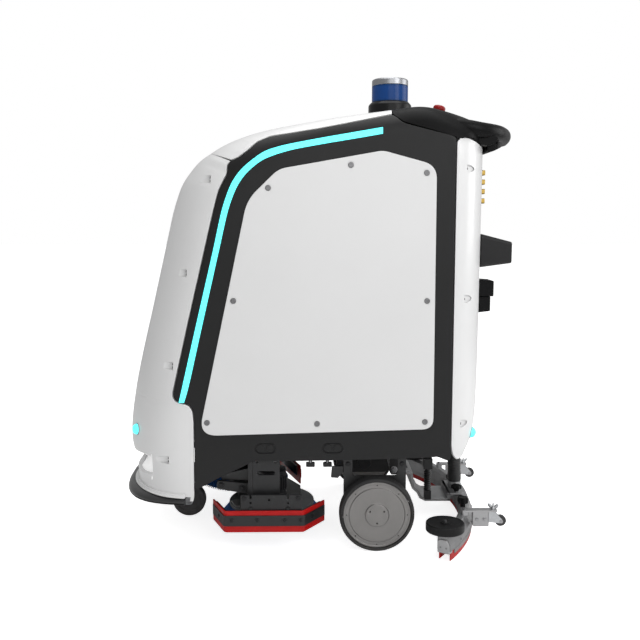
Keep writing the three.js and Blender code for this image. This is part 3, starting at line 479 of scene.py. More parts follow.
# ------------------------------------------------------------------ mesh helpers (station mm)
def make(name, vf, body, mat, slot=None, replaces=None, bevel=0.0, seg=2, solid=0.0, sharp=38, ref=None, weight=True, angle=34, clean=True, even=True):
    V, F = vf
    me = bpy.data.meshes.new(name)
    me.from_pydata(world(V).tolist(), [], [[int(i) for i in f] for f in F])
    me.validate()
    bm = bmesh.new()
    bm.from_mesh(me)
    if clean:
        bmesh.ops.remove_doubles(bm, verts=bm.verts, dist=3e-6)
    bmesh.ops.recalc_face_normals(bm, faces=bm.faces)
    if ref is not None:
        c = Vector(world(ref))
        s = sum(f.normal.dot(f.calc_center_median() - c) * f.calc_area() for f in bm.faces)
        if s < 0:
            bmesh.ops.reverse_faces(bm, faces=bm.faces)
    bm.to_mesh(me)
    bm.free()
    ob = bpy.data.objects.new(name, me)
    bpy.context.scene.collection.objects.link(ob)
    me.materials.append(M[mat] if isinstance(mat, str) else mat)
    me.shade_smooth()
    if solid:
        s = ob.modifiers.new("wall", "SOLIDIFY")
        s.thickness = solid * MM
        s.offset = -1
        s.use_even_offset = even
    if bevel:
        b = ob.modifiers.new("edges", "BEVEL")
        b.width = bevel * MM
        b.segments = seg
        b.limit_method = "ANGLE"
        b.angle_limit = math.radians(angle)
    if solid or bevel:
        bake(ob)
    ob["weight"] = weight
    ob["sharp"] = sharp
    PIECES.append(ob)
    if body:
        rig.ride(ob, body)
    if slot:
        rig.slot(ob, slot)
    if replaces:
        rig.replaces(ob, *([replaces] if isinstance(replaces, str) else replaces))
    return ob


PIECES = []


def bake(ob):
    bpy.context.view_layer.update()
    dg = bpy.context.evaluated_depsgraph_get()
    me = bpy.data.meshes.new_from_object(ob.evaluated_get(dg), preserve_all_data_layers=True, depsgraph=dg)
    old = ob.data
    ob.modifiers.clear()
    ob.data = me
    me.name = ob.name
    bpy.data.meshes.remove(old)


def cutter(vf):
    V, F = vf
    me = bpy.data.meshes.new("cutter")
    me.from_pydata(world(V).tolist(), [], [[int(i) for i in f] for f in F])
    bm = bmesh.new()
    bm.from_mesh(me)
    bmesh.ops.remove_doubles(bm, verts=bm.verts, dist=3e-6)
    bmesh.ops.recalc_face_normals(bm, faces=bm.faces)
    bm.to_mesh(me)
    bm.free()
    ob = bpy.data.objects.new("cutter", me)
    bpy.context.scene.collection.objects.link(ob)
    return ob


def carve(ob, *shapes, mat=None):
    for vf in shapes:
        c = cutter(vf)
        if mat:
            c.data.materials.append(M[mat])
        m = ob.modifiers.new("cut", "BOOLEAN")
        m.operation = "DIFFERENCE"
        m.object = c
        m.solver = "EXACT"
        bake(ob)
        bpy.data.objects.remove(c)
    return ob


def joined(*vfs):
    V, F, o = [], [], 0
    for v, f in vfs:
        v = np.asarray(v, float)
        V.append(v)
        F += [[i + o for i in g] for g in f]
        o += len(v)
    return np.vstack(V), F


def mirrored(vf):
    V, F = vf
    V = np.array(V, float)
    V[:, 0] *= -1
    return V, [list(reversed(f)) for f in F]


def prism(outline, lo, hi, axis="X"):
    o = np.asarray(outline, float)
    n = len(o)

    def at(h):
        if axis == "X":
            return np.column_stack([np.full(n, h), o[:, 0], o[:, 1]])
        if axis == "Y":
            return np.column_stack([o[:, 0], np.full(n, h), o[:, 1]])
        return np.column_stack([o[:, 0], o[:, 1], np.full(n, h)])

    V = np.vstack([at(lo), at(hi)])
    F = [list(range(n))[::-1], list(range(n, 2 * n))] + [[i, (i + 1) % n, n + (i + 1) % n, n + i] for i in range(n)]
    return V, F


def boxy(x0, x1, y0, y1, z0, z1):
    return prism([[y0, z0], [y1, z0], [y1, z1], [y0, z1]], x0, x1, "X")


def round_rect(a0, a1, b0, b1, r, n=6):
    out = []
    for cx, cy, s in ((a1 - r, b1 - r, 0), (a0 + r, b1 - r, 90), (a0 + r, b0 + r, 180), (a1 - r, b0 + r, 270)):
        for i in range(n + 1):
            a = math.radians(s + 90 * i / n)
            out.append([cx + r * math.cos(a), cy + r * math.sin(a)])
    return out


def lathe(profile, c, axis="Z", n=64):
    """profile of (radius, height) pairs about an axis through c; it closes on itself or ends on the axis"""
    closed = tuple(profile[0]) == tuple(profile[-1])
    prof = profile[:-1] if closed else profile
    V, rings = [], []
    for r, h in prof:
        if r < 1e-6:
            rings.append([len(V)])
            V.append((0, 0, h))
        else:
            rings.append(list(range(len(V), len(V) + n)))
            for i in range(n):
                a = 2 * math.pi * i / n
                V.append((r * math.cos(a), r * math.sin(a), h))
    F = []
    m = len(rings)
    for j in range(m if closed else m - 1):
        a, b = rings[j], rings[(j + 1) % m]
        for i in range(n):
            k2 = (i + 1) % n
            if len(a) == 1 and len(b) == 1:
                continue
            if len(a) == 1:
                F.append([a[0], b[i], b[k2]])
            elif len(b) == 1:
                F.append([a[i], a[k2], b[0]])
            else:
                F.append([a[i], a[k2], b[k2], b[i]])
    V = np.array(V)
    if axis == "X":
        V = V[:, [2, 0, 1]]
    elif axis == "Y":
        V = V[:, [1, 2, 0]]
    return V + np.asarray(c, float), F


def turned_to(vf, pos, axis, roll=0.0):
    """moves a shape built about +Z at the origin so that +Z points along axis at pos"""
    V, F = vf
    q = Vector((0, 0, 1)).rotation_difference(Vector(axis).normalized())
    R = np.array(q.to_matrix() @ Matrix.Rotation(roll, 3, "Z"))
    return np.asarray(V) @ R.T + np.asarray(pos, float), F


def catmull(points, per=8, closed=False):
    p = np.asarray(points, float)
    n = len(p)
    out = []
    rngn = n if closed else n - 1
    for i in range(rngn):
        if closed:
            a, b, c, d = p[(i - 1) % n], p[i], p[(i + 1) % n], p[(i + 2) % n]
        else:
            b, c = p[i], p[i + 1]
            a = p[i - 1] if i else 2 * b - c
            d = p[i + 2] if i + 2 < n else 2 * c - b
        t0 = 0.0
        t1 = t0 + max(np.linalg.norm(b[:3] - a[:3]), 1e-6) ** 0.5
        t2 = t1 + max(np.linalg.norm(c[:3] - b[:3]), 1e-6) ** 0.5
        t3 = t2 + max(np.linalg.norm(d[:3] - c[:3]), 1e-6) ** 0.5
        for s in range(per):
            t = t1 + (t2 - t1) * s / per
            a1 = (t1 - t) / (t1 - t0) * a + (t - t0) / (t1 - t0) * b
            a2 = (t2 - t) / (t2 - t1) * b + (t - t1) / (t2 - t1) * c
            a3 = (t3 - t) / (t3 - t2) * c + (t - t2) / (t3 - t2) * d
            b1 = (t2 - t) / (t2 - t0) * a1 + (t - t0) / (t2 - t0) * a2
            b2 = (t3 - t) / (t3 - t1) * a2 + (t - t1) / (t3 - t1) * a3
            out.append((t2 - t) / (t2 - t1) * b1 + (t - t1) / (t2 - t1) * b2)
    if not closed:
        out.append(p[-1])
    return np.array(out)


def resample(points, n, closed=False):
    p = np.asarray(points, float)
    if closed:
        p = np.vstack([p, p[:1]])
    d = np.r_[0, np.cumsum(np.linalg.norm(np.diff(p, axis=0), axis=1))]
    s = np.linspace(0, d[-1], n + 1)[:-1] if closed else np.linspace(0, d[-1], n)
    return np.column_stack([np.interp(s, d, p[:, i]) for i in range(p.shape[1])])


def fillet(points, radii, steps=6, closed=True):
    out, n = [], len(points)
    for i, p in enumerate(points):
        r = radii[i] if isinstance(radii, (list, tuple)) else radii
        p = np.array(p, float)
        if not r or (not closed and i in (0, n - 1)):
            out.append(p)
            continue
        a, b = np.array(points[(i - 1) % n], float), np.array(points[(i + 1) % n], float)
        u, v = a - p, b - p
        lu, lv = np.linalg.norm(u), np.linalg.norm(v)
        u, v = u / lu, v / lv
        half = math.acos(max(-1, min(1, float(u @ v)))) / 2
        t = min(r / math.tan(half), lu * 0.49, lv * 0.49)
        for k2 in range(steps + 1):
            s = k2 / steps
            out.append((1 - s) ** 2 * (p + u * t) + 2 * s * (1 - s) * p + s * s * (p + v * t))
    return np.array(out)


def sweep(section, path):
    """closed (rho, z) section carried along a path of (x, y) points, square to it"""
    path = np.asarray(path, float)
    n, m = len(path), len(section)
    V, F = [], []
    for i in range(n):
        a, b, p = path[max(i - 1, 0)], path[min(i + 1, n - 1)], path[i]
        d1, d2 = p - a, b - p
        if i == 0:
            d1 = d2
        if i == n - 1:
            d2 = d1
        d1, d2 = d1 / np.linalg.norm(d1), d2 / np.linalg.norm(d2)
        t = (d1 + d2) / np.linalg.norm(d1 + d2)
        kk = 1 / max(float(t @ d1), 0.5)
        for rho, z in section:
            V.append((p[0] + t[1] * kk * rho, p[1] - t[0] * kk * rho, z))
    for i in range(n - 1):
        for j in range(m):
            a, b = i * m + j, i * m + (j + 1) % m
            F.append([a, b, b + m, a + m])
    F.append(list(range(m))[::-1])
    F.append([(n - 1) * m + j for j in range(m)])
    return np.array(V), F


def tube(points, r, sides=24, flat=1.0, up_axis=(0, 0, 1)):
    """round or oval bar along 3-D points; r may vary; flat scales the up direction"""
    p = np.asarray(points, float)
    n = len(p)
    rr = np.full(n, r, float) if np.isscalar(r) else np.asarray(r, float)
    V, F = [], []
    upv = np.asarray(up_axis, float)
    for i in range(n):
        t = p[min(i + 1, n - 1)] - p[max(i - 1, 0)]
        t /= np.linalg.norm(t)
        s = np.cross(t, upv)
        if np.linalg.norm(s) < 1e-3:
            s = np.cross(t, [0, 1, 0])
        s /= np.linalg.norm(s)
        u = np.cross(s, t)
        for j in range(sides):
            a = 2 * math.pi * j / sides
            V.append(p[i] + rr[i] * (math.cos(a) * s + flat * math.sin(a) * u))
    for i in range(n - 1):
        for j in range(sides):
            a, b = i * sides + j, i * sides + (j + 1) % sides
            F.append([a, b, b + sides, a + sides])
    F.append(list(range(sides))[::-1])
    F.append([(n - 1) * sides + j for j in range(sides)])
    return np.array(V), F


def rings_loft(rings, close=True):
    """equal-length closed rings of points, skinned, with flat ends"""
    m = len(rings[0])
    V = np.vstack(rings)
    F = []
    for i in range(len(rings) - 1):
        for j in range(m):
            a, b = i * m + j, i * m + (j + 1) % m
            F.append([a, b, b + m, a + m])
    if close:
        F.append(list(range(m))[::-1])
        F.append([(len(rings) - 1) * m + j for j in range(m)])
    return V, F


def circle(r, n, z=0.0, phase=0.0):
    a = np.linspace(0, 2 * math.pi, n, endpoint=False) + phase
    return np.column_stack([r * np.cos(a), r * np.sin(a), np.full(n, z)])


def hexring(r, n, z=0.0, phase=0.0):
    a = np.linspace(0, 2 * math.pi, n, endpoint=False)
    k6 = np.cos(math.pi / 6) / np.cos((a % (math.pi / 3)) - math.pi / 6)
    return np.column_stack([r * k6 * np.cos(a + phase), r * k6 * np.sin(a + phase), np.full(n, z)])


def socket_screw(r, h, sock=0.5, depth=0.6, n=24):
    """round head with a hexagon socket, base at z = 0"""
    return rings_loft([circle(r, n, -0.8 * h), circle(r, n, h * 0.72), circle(r * 0.96, n, h * 0.9), circle(r * 0.86, n, h),
                       hexring(r * sock * 1.08, n, h), hexring(r * sock, n, h * 0.93), hexring(r * sock, n, h * (1 - depth))])


def hex_bolt(r, h, n=24):
    """hexagon head on a washer, base at z = 0"""
    washer = rings_loft([circle(r * 1.35, n, -0.3 * h), circle(r * 1.35, n, 0.12 * h), circle(r * 1.28, n, 0.2 * h), circle(r * 0.9, n, 0.2 * h)])
    head = rings_loft([hexring(r, n, 0.15 * h), hexring(r, n, 0.85 * h), hexring(r * 0.9, n, h), circle(r * 0.72, n, h * 1.02)])
    return joined(washer, head)


def knob(r, h, lobes=6, n=72):
    a = np.linspace(0, 2 * math.pi, n, endpoint=False)
    star = 1 + 0.09 * np.cos(lobes * a)

    def ring(s, z):
        return np.column_stack([r * s * star * np.cos(a), r * s * star * np.sin(a), np.full(n, z)])

    return rings_loft([ring(0.45, 0), ring(0.5, h * 0.3), ring(0.93, h * 0.42), ring(1.0, h * 0.52), ring(1.0, h * 0.84), ring(0.93, h * 0.96), ring(0.8, h), ring(0.3, h * 0.97)])


def wing_nut(s=1.0):
    base = rings_loft([circle(6 * s, 24, 0), circle(6 * s, 24, 3 * s), circle(4.4 * s, 24, 7 * s), circle(3.6 * s, 24, 8 * s)])
    stud = rings_loft([circle(2.4 * s, 16, 0), circle(2.4 * s, 16, 17 * s), circle(1.8 * s, 16, 18 * s)])
    parts = [base, stud]
    for sgn in (-1, 1):
        rings = []
        for t in np.linspace(0, 1, 7):
            cx, cz = sgn * (3 + 12 * t) * s, (4 + 11 * t) * s
            ww, hh = (2.0 - 0.4 * t) * s, (3.2 + 2.2 * math.sin(math.pi * t)) * s * (1 if t < 0.99 else 0.5)
            b = np.linspace(0, 2 * math.pi, 12, endpoint=False)
            rings.append(np.column_stack([cx - 0.6 * hh * np.sin(b) * sgn, ww * np.cos(b), cz + 0.8 * hh * np.sin(b)]))
        parts.append(rings_loft(rings))
    return joined(*parts)


# ------------------------------------------------------------------ housing surface
ROWS = [
    [-505, 138, -325, 146, 250], [-513, 150, -326, 156, 250], [-514, 165, -328, 166, 250], [-514, 185, -331, 186, 250], [-515, 200, -333, 200, 250], [-520, 230, -338, 230, 250], [-532, 299, -345, 295, 250], [-528, 361, -343, 358, 250],
    [-513, 454, -334, 449, 250], [-493, 546, -316, 540, 250], [-463, 668, -288, 661, 250],
    [-434, 789, -259, 782, 250], [-406, 907, -230, 900, 250], [-393, 961, -216, 950, 250], [-382, 995, -206, 984, 248],
    [-365, 1037, -190, 1018, 240], [-339, 1073, -168, 1050, 228], [-309, 1104, -146, 1077, 210], [-276, 1124, -122, 1096, 188],
  [-240, 1143, -98, 1108, 160], [-196, 1160, -76, 1116, 132], [-150, 1173, -50, 1123, 106], [-104, 1183, -25, 1128, 88],
  [-50, 1193, 5, 1133, 76], [0, 1201, 32, 1138, 68], [60, 1211, 75, 1146, 62], [130, 1221, 135, 1156, 60],
  [200, 1230, 200, 1166, 60], [237, 1235, 237, 1170, 60], [270, 1240, 270, 1174, 60], [302, 1244, 302, 1176, 62],
  [337, 1243, 330, 1172, 68], [370, 1237, 352, 1166, 80], [410, 1230, 372, 1158, 110], [460, 1220, 390, 1147, 165],
  [496, 1209, 399, 1136, 215], [511, 1199, 402, 1124, 245], [514, 1170, 403, 1105, 250], [514, 1100, 403, 1060, 250],
    [513, 880, 403, 880, 250], [512, 640, 403, 640, 250], [510, 440, 402, 440, 250], [505, 350, 401, 355, 250],
    [494, 300, 400, 312, 250], [478, 262, 397, 285, 250], [455, 225, 392, 250, 250],
]


def smooth_rows():
    R = np.array(ROWS, float)
    # chord length along the centre line and side line together drives the spline
    out = []
    n = len(R)
    for i in range(n - 1):
        b, c = R[i], R[i + 1]
        a = R[i - 1] if i else 2 * b - c
        d = R[i + 2] if i + 2 < n else 2 * c - b
        k1 = (np.hypot(*(b - a)[:2]) + 0.5 * np.hypot(*(b - a)[2:4])) ** 0.5 + 1e-3
        k2 = (np.hypot(*(c - b)[:2]) + 0.5 * np.hypot(*(c - b)[2:4])) ** 0.5 + 1e-3
        k3 = (np.hypot(*(d - c)[:2]) + 0.5 * np.hypot(*(d - c)[2:4])) ** 0.5 + 1e-3
        t0, t1, t2, t3 = 0, k1, k1 + k2, k1 + k2 + k3
        per = max(2, int(round(np.hypot(*(c - b)[:2]) / 5)))
        for s in range(per):
            t = t1 + (t2 - t1) * s / per
            a1 = (t1 - t) / (t1 - t0) * a + (t - t0) / (t1 - t0) * b
            a2 = (t2 - t) / (t2 - t1) * b + (t - t1) / (t2 - t1) * c
            a3 = (t3 - t) / (t3 - t2) * c + (t - t2) / (t3 - t2) * d
            b1 = (t2 - t) / (t2 - t0) * a1 + (t - t0) / (t2 - t0) * a2
            b2 = (t3 - t) / (t3 - t1) * a2 + (t - t1) / (t3 - t1) * a3
            out.append(np.r_[(t2 - t) / (t2 - t1) * b1 + (t - t1) / (t2 - t1) * b2])
    out.append(R[-1])
    D = np.array(out)
    for _ in range(6):
        D[1:-1] = 0.5 * D[1:-1] + 0.25 * (D[:-2] + D[2:])
    D[:, 0] = np.clip(D[:, 0], -531.5, 513.8)
    return D


DR = smooth_rows()


def lift(yz):
    """half width of the housing at side-view points (y, z)"""
    yz = np.asarray(yz, float).reshape(-1, 2)
    P, Q, RX = DR[:, 0:2], DR[:, 2:4], DR[:, 4]
    V = Q - P
    X = np.full(len(yz), W)
    best = np.full(len(yz), np.inf)
    for s0 in range(0, len(yz), 4000):
        q = yz[s0:s0 + 4000]
        c = V[None, :, 0] * (q[:, 1:2] - P[None, :, 1]) - V[None, :, 1] * (q[:, 0:1] - P[None, :, 0])
        hit = (c[:, :-1] * c[:, 1:]) <= 0
        ii, jj = np.nonzero(hit)
        den = c[ii, jj] - c[ii, jj + 1]
        t = np.where(np.abs(den) > 1e-12, c[ii, jj] / np.where(np.abs(den) > 1e-12, den, 1), 0.5)[:, None]
        Pm = P[jj] + t * (P[jj + 1] - P[jj])
        Qm = Q[jj] + t * (Q[jj + 1] - Q[jj])
        rx = RX[jj] + t[:, 0] * (RX[jj + 1] - RX[jj])
        L = Qm - Pm
        d = ((q[ii] - Pm) * L).sum(1) / (L * L).sum(1)
        ok = (d > -0.2) & (d <= 1.0)
        ii, d, rx = ii[ok], np.clip(d[ok], 0, 1), rx[ok]
        x = W - rx * (1 - np.sqrt(np.clip(1 - (1 - d) ** 2, 0, 1)))
        for i, xx, dd in zip(ii, x, d):
            if dd < best[s0 + i]:
                best[s0 + i] = dd
                X[s0 + i] = xx
    return X


_Plen = np.r_[0, np.cumsum(np.linalg.norm(np.diff(DR[:, :2], axis=0), axis=1))]


def row_at(y, z):
    """arc position on the centre line nearest to (y, z)"""
    i = int(np.argmin(np.hypot(DR[:, 0] - y, DR[:, 1] - z)))
    return _Plen[i]


def row_params(s):
    return np.array([np.interp(s, _Plen, DR[:, i]) for i in range(5)])


def cover_sheet(pairs, step=7.0, edge=(0.0, 3.5, 8.5), side_cols=14, mid_cols=6, end_curve=None, end_rows=8, start_curve=None, start_rows=8, chop=None, max_step=None):
    """One cover that wraps across the centre. pairs: ((centre y, z), (side y, z)) from one end to the other.
    Rows run between matching points; the half width comes from the housing surface."""
    S = np.array([row_at(*p[0]) for p in pairs], float)
    E = np.array([p[1] for p in pairs], float)
    el = np.r_[0, np.cumsum(np.hypot(*np.diff(E, axis=0).T))]
    ps, es = [], []
    for i in range(len(pairs) - 1):
        span = max(abs(S[i + 1] - S[i]), el[i + 1] - el[i])
        n = max(1, int(math.ceil(span / step)))
        for j in range(n):
            f = j / n
            ps.append(S[i] + f * (S[i + 1] - S[i]))
            es.append(el[i] + f * (el[i + 1] - el[i]))
    ps.append(S[-1])
    es.append(el[-1])
    Es = np.column_stack([np.interp(es, el, E[:, 0]), np.interp(es, el, E[:, 1])])
    rows_yz, mids, mid_x = [], [], []
    fr_all = []
    for s, e in zip(ps, Es):
        py, pz, qy, qz, rx = row_params(s)
        P = np.array([py, pz])
        L = np.linalg.norm(e - P)
        dE = min(L / max(np.hypot(qy - py, qz - pz), 1e-6), 1.0)
        th0 = math.asin(1 - dE)
        e0 = [min(x / L, 0.4) for x in edge]
        fe = e0[-1]
        # remaining fractions, evenly spaced in the angle of the rounding
        d1 = dE * (1 - fe)
        tha = math.asin(1 - d1)
        ths = np.linspace(tha, math.pi / 2, side_cols + 1)[1:]
        f = [1 - x for x in e0] + [(1 - math.sin(t)) / dE for t in ths]
        f[-1] = 0.0
        fr_all.append(f)
        rows_yz.append(np.array([P + (e - P) * x for x in f]))
        mids.append(P)
        mid_x.append(W - rx)
    rows_yz = np.array(rows_yz)

    def bend(curve, idx_last, order):
        c = resample(curve, 200)
        d = np.r_[0, np.cumsum(np.hypot(*np.diff(c, axis=0).T))]
        d /= d[-1]
        last = rows_yz[idx_last]
        f = np.array(fr_all[idx_last])          # 1 at the side, 0 at the centre
        target = np.column_stack([np.interp(1 - f, d, c[:, 0]), np.interp(1 - f, d, c[:, 1])])
        off = target - last
        return off, order

    if end_curve is not None:
        off, _ = bend(end_curve, -1, 1)
        for j in range(end_rows):
            w = (1 - j / end_rows) ** 2
            rows_yz[-1 - j] += off * w
    if start_curve is not None:
        off, _ = bend(start_curve, 0, 1)
        for j in range(start_rows):
            w = (1 - j / start_rows) ** 2
            rows_yz[j] += off * w
    nr, nc = rows_yz.shape[:2]
    X = lift(rows_yz.reshape(-1, 2)).reshape(nr, nc)
    X[:, -1] = mid_x
    for _ in range(6):
        gap = np.hypot(*np.moveaxis(np.diff(rows_yz, axis=0), 2, 0))
        wgt = np.clip(9.0 / (gap[:-1] + gap[1:] + 1e-6), 0, 0.5)
        X[1:-1] = (1 - wgt) * X[1:-1] + wgt * (X[:-2] * gap[1:] + X[2:] * gap[:-1]) / (gap[:-1] + gap[1:] + 1e-9)
    # keep widths falling steadily towards the centre line
    X = np.minimum.accumulate(X, axis=1)
    cols = []
    for j in range(nc):
        cols.append(np.column_stack([X[:, j], rows_yz[:, j]]))
    for j in range(1, mid_cols):
        f = j / mid_cols
        c = cols[nc - 1].copy()
        c[:, 0] = X[:, -1] * (1 - 2 * f)
        cols.append(c)
    for j in range(nc - 1, -1, -1):
        c = cols[j].copy()
        c[:, 0] *= -1
        cols.append(c)
    G = np.array(cols)                # columns, rows, xyz
    C = len(G)
    V = G.reshape(-1, 3)
    F = []
    for i in range(C - 1):
        for j in range(nr - 1):
            if chop and chop(G[i, j], G[i + 1, j], G[i, j + 1], G[i + 1, j + 1]):
                continue
            F.append([i * nr + j, (i + 1) * nr + j, (i + 1) * nr + j + 1, i * nr + j + 1])
    return V, F


FRONT_SEAM = [[-205, 1096], [-214, 1084], [-213, 1062], [-237, 1017], [-252, 963], [-278, 856], [-331, 637], [-370, 469], [-371, 449],
              [-358, 433], [-336, 428], [-325, 412], [-319, 355], [-315, 211], [-313, 120]]
LID_SEAM = [[-186, 1104], [-162, 1120], [-134, 1146], [-97, 1161], [-47, 1168], [38, 1181], [96, 1192], [204, 1214], [230, 1219]]
CONSOLE_SEAM = [[248, 1207], [258, 1198], [330, 1178], [404, 1157]]
REAR_TOP = [[404, 1147], [412, 1156], [425, 1159], [445, 1154], [470, 1146], [500, 1135], [514.5, 1130]]
SIDE_BOTTOM = [[392, 267], [364, 278], [252, 272], [-42, 267], [-154, 267], [-163, 260], [-249, 218], [-289, 197], [-313, 183]]
G0 = 1.1     # half of the visible seam

# --- front cover
seam_pts = [[-205 - G0, 1096 - G0], [-214 - G0, 1084], [-214.5 - G0, 1062], [-237 - G0, 1017], [-252 - G0, 963], [-278 - G0, 856], [-331 - G0, 637], [-369 - G0, 476],
            [-372.5 - G0, 462], [-372 - G0, 449], [-366 - G0, 439.5], [-356, 434 - G0], [-345, 431.5 - G0], [-336, 430 - G0], [-327.2, 424.6], [-320.8, 416.4], [-316 - G0, 405], [-314.2 - G0, 380],
            [-314.6 - G0, 300], [-315.6 - G0, 211], [-316.2 - G0, 168], [-318.6 - G0, 152.5]]
front_pairs = [((-511, 148), seam_pts[21]), ((-514, 164.5), (-316.3 - G0, 164.5)), ((-514.5, 190), (-315.9 - G0, 188)), ((-517, 212), seam_pts[19]), ((-521, 236), (-315.4 - G0, 235)),
               ((-526, 264), (-315.1 - G0, 262)), ((-531, 299), seam_pts[18]), ((-528, 361), seam_pts[17]), ((-524, 392), seam_pts[16]), ((-521, 408), seam_pts[15]), ((-519.5, 417), seam_pts[14]), ((-518, 424), seam_pts[13]),
               ((-517, 431), seam_pts[12]), ((-515.5, 438), seam_pts[11]), ((-514, 446), seam_pts[10]), ((-512.5, 455), seam_pts[9]), ((-509, 470), seam_pts[8]), ((-505, 486), seam_pts[7]), ((-463, 668), seam_pts[6]),
               ((-410, 889), seam_pts[5]), ((-386, 980), seam_pts[4]), ((-357, 1049), seam_pts[3]), ((-309, 1104), seam_pts[2]), ((-288, 1117.5), seam_pts[1]), ((-277, 1123.4), seam_pts[0])]


def chop_low(a, b, c, d):
    """below the bumper's upper face only the rear end of each side goes on down"""
    y = min(a[1], b[1], c[1], d[1])
    z = max(a[2], b[2], c[2], d[2])
    return z < 164.9 and y < -330.6


fc = make("front_cover_shell", cover_sheet(front_pairs, step=6.5, edge=(0.0, 3.5, 9.0, 18.5), side_cols=15, mid_cols=6, chop=chop_low), "chassis", "white",
          slot="cover_white", replaces="front_cover", solid=11, bevel=2.0, seg=3, ref=(0, -250, 640))

# --- top lid
lid_pairs = [((-275, 1124.6), (-204 + G0, 1098.5)), ((-262, 1131.5), (-195, 1101)), ((-250, 1138), (-184, 1106)), ((-225, 1149), (-161, 1121.5 + G0)), ((-196, 1160), (-133, 1146.5 + G0)),
             ((-150, 1173), (-96, 1161.5 + G0)), ((-104, 1183), (-46, 1168.3 + G0)), ((0, 1201), (38, 1181.3 + G0)), ((96, 1216), (96, 1192.3 + G0)), ((200, 1230), (203, 1214.2 + G0)),
             ((222, 1233), (222, 1218.0 + G0)), ((231.5, 1234.4), (230, 1221.0))]
lid = make("top_lid_shell", cover_sheet(lid_pairs, step=7.0, edge=(0.0, 3.0, 7.0), side_cols=10, mid_cols=12), "lid", "white",
           slot="cover_white", replaces="top_lid", solid=5, bevel=1.8, seg=3, ref=(0, -30, 900))
carve(lid, prism(fillet([[-165.6, 260], [-165.6, 238.6], [-101, 167.2], [101, 167.2], [165.6, 238.6], [165.6, 260]], [0, 9, 14, 14, 9, 0], 5), 1150, 1400, "Z"))

# --- rear cover
rear_pairs = [((479, 262.5), (431, 263.5)), ((480.5, 265), (424, 266)), ((482, 269), (418, 271.5)), ((486, 279), (412, 281)), ((490, 290), (408.3, 291)), ((496, 307), (405, 308)), ((499.5, 322), (403.6 + G0, 325)),
              ((505, 350), (403.6 + G0, 352)), ((510, 440), (403.6 + G0, 440)), ((512, 640), (403.6 + G0, 640)), ((513, 880), (403.6 + G0, 880)), ((514, 1090), (403.6 + G0, 1080)), ((514, 1108), (403.6 + G0, 1130)),
              ((514, 1116), (404.6 + G0, 1145)), ((514, 1121), (408 + G0, 1151.5)), ((514, 1126), (414, 1155.3)), ((514, 1129.6), (424, 1157.4))]
rc = make("rear_cover_shell", cover_sheet(rear_pairs, step=9.0, edge=(0.0, 3.5, 8.0), side_cols=15, mid_cols=6,
                                          end_curve=[[424, 1157.4], [445, 1152.6], [470, 1144.6], [500, 1133.6], [514, 1129]], end_rows=5),
          "chassis", "white", slot="cover_white", replaces="rear_cover", solid=8, bevel=2.0, seg=3, ref=(0, 350, 700), even=False)

# --- console
con_pairs = [((233.2, 1234.6), (232.6 + G0, 1220.6)), ((240, 1235.4), (240, 1213.8)), ((250, 1237), (249, 1207.6)), ((262, 1239), (258.5, 1199.6)), ((280, 1241.5), (276, 1193.5)), ((302, 1244), (302, 1186.4)),
             ((337, 1243), (331, 1178.6)), ((370, 1237), (356, 1171.6)), ((410, 1230), (378, 1165)), ((460, 1220), (394, 1160.4)), ((496, 1209), (400.5, 1158.4)),
             ((511, 1199), (402.2, 1157)), ((514, 1172), (403, 1154)), ((514, 1150), (403.4, 1151)), ((514, 1131.6), (404, 1149.5))]
con = make("console_shell", cover_sheet(con_pairs, step=6.0, edge=(0.0, 2.5, 6.0), side_cols=14, mid_cols=12,
                                        end_curve=[[404, 1149.5], [411, 1158.2], [425, 1161.4], [445, 1156.6], [470, 1148.4], [500, 1137.4], [514, 1132]], end_rows=7),
           "chassis", "console", slot="shell_black", replaces="console_housing", solid=5, bevel=1.2, seg=3, ref=(0, 330, 900), even=False)
tongue_plan = fillet([[-163.2, 236], [-100.2, 169], [100.2, 169], [163.2, 236]], [0, 13, 13, 0], 5)
ty = np.linspace(169, 236, 12)
tx = np.interp(ty, [169, 236], [100.2, 163.2])
tv, tf = [], []
xs = np.linspace(-1, 1, 13)
for yy, hw in zip(ty, tx):
    zc = np.interp(yy, [130, 200, 237, 270], [1221, 1230, 1235, 1240])
    for x in xs:
        tv.append((x * hw, yy, zc))
for i in range(len(ty) - 1):
    for j in range(len(xs) - 1):
        a = i * len(xs) + j
        tf.append([a, a + 1, a + 1 + len(xs), a + len(xs)])
make("console_tongue", (np.array(tv), tf), "chassis", "console", slot="shell_black", solid=5, bevel=1.5, seg=3, ref=(0, 200, 1000))
tray = prism(fillet([[-205, 508], [205, 508], [205, 534], [190, 551], [-190, 551], [-205, 534]], [0, 0, 20, 20, 20, 20], 5), 1125, 1149, "Z")
tV = np.array(tray[0])
low = tV[:, 2] < 1130
tV[low, 2] = np.interp(tV[low, 1], [508, 520, 551], [1124.9, 1126, 1141])
make("console_tray", (tV, tray[1]), "chassis", "grip", slot="shell_black", bevel=1.6, seg=3)

# --- handle
hp = catmull([[262, 392, 1191], [262, 418, 1190], [260, 446, 1186.5], [252, 477, 1182], [234, 508, 1179.6], [206, 535, 1178.8], [165, 556, 1179.2], [90, 583, 1180.6], [0, 600, 1182]], 10)
hp = np.vstack([hp, (hp[:-1] * [-1, 1, 1])[::-1]])
for sgn in (1, -1):
    root = prism(fillet([[428, 1156], [500, 1139], [522, 1147], [530, 1164], [452, 1178]], [4, 10, 8, 8, 6], 4), 214, 250)
    make("handle_root_" + ("left" if sgn > 0 else "right"), root if sgn > 0 else mirrored(root), "chassis", "grip", slot="shell_black", bevel=4, seg=4)
make("handle_bar", tube(hp, 17.9, 32, flat=1.2), "chassis", "grip", slot="handle_grey", replaces="handle", bevel=0)

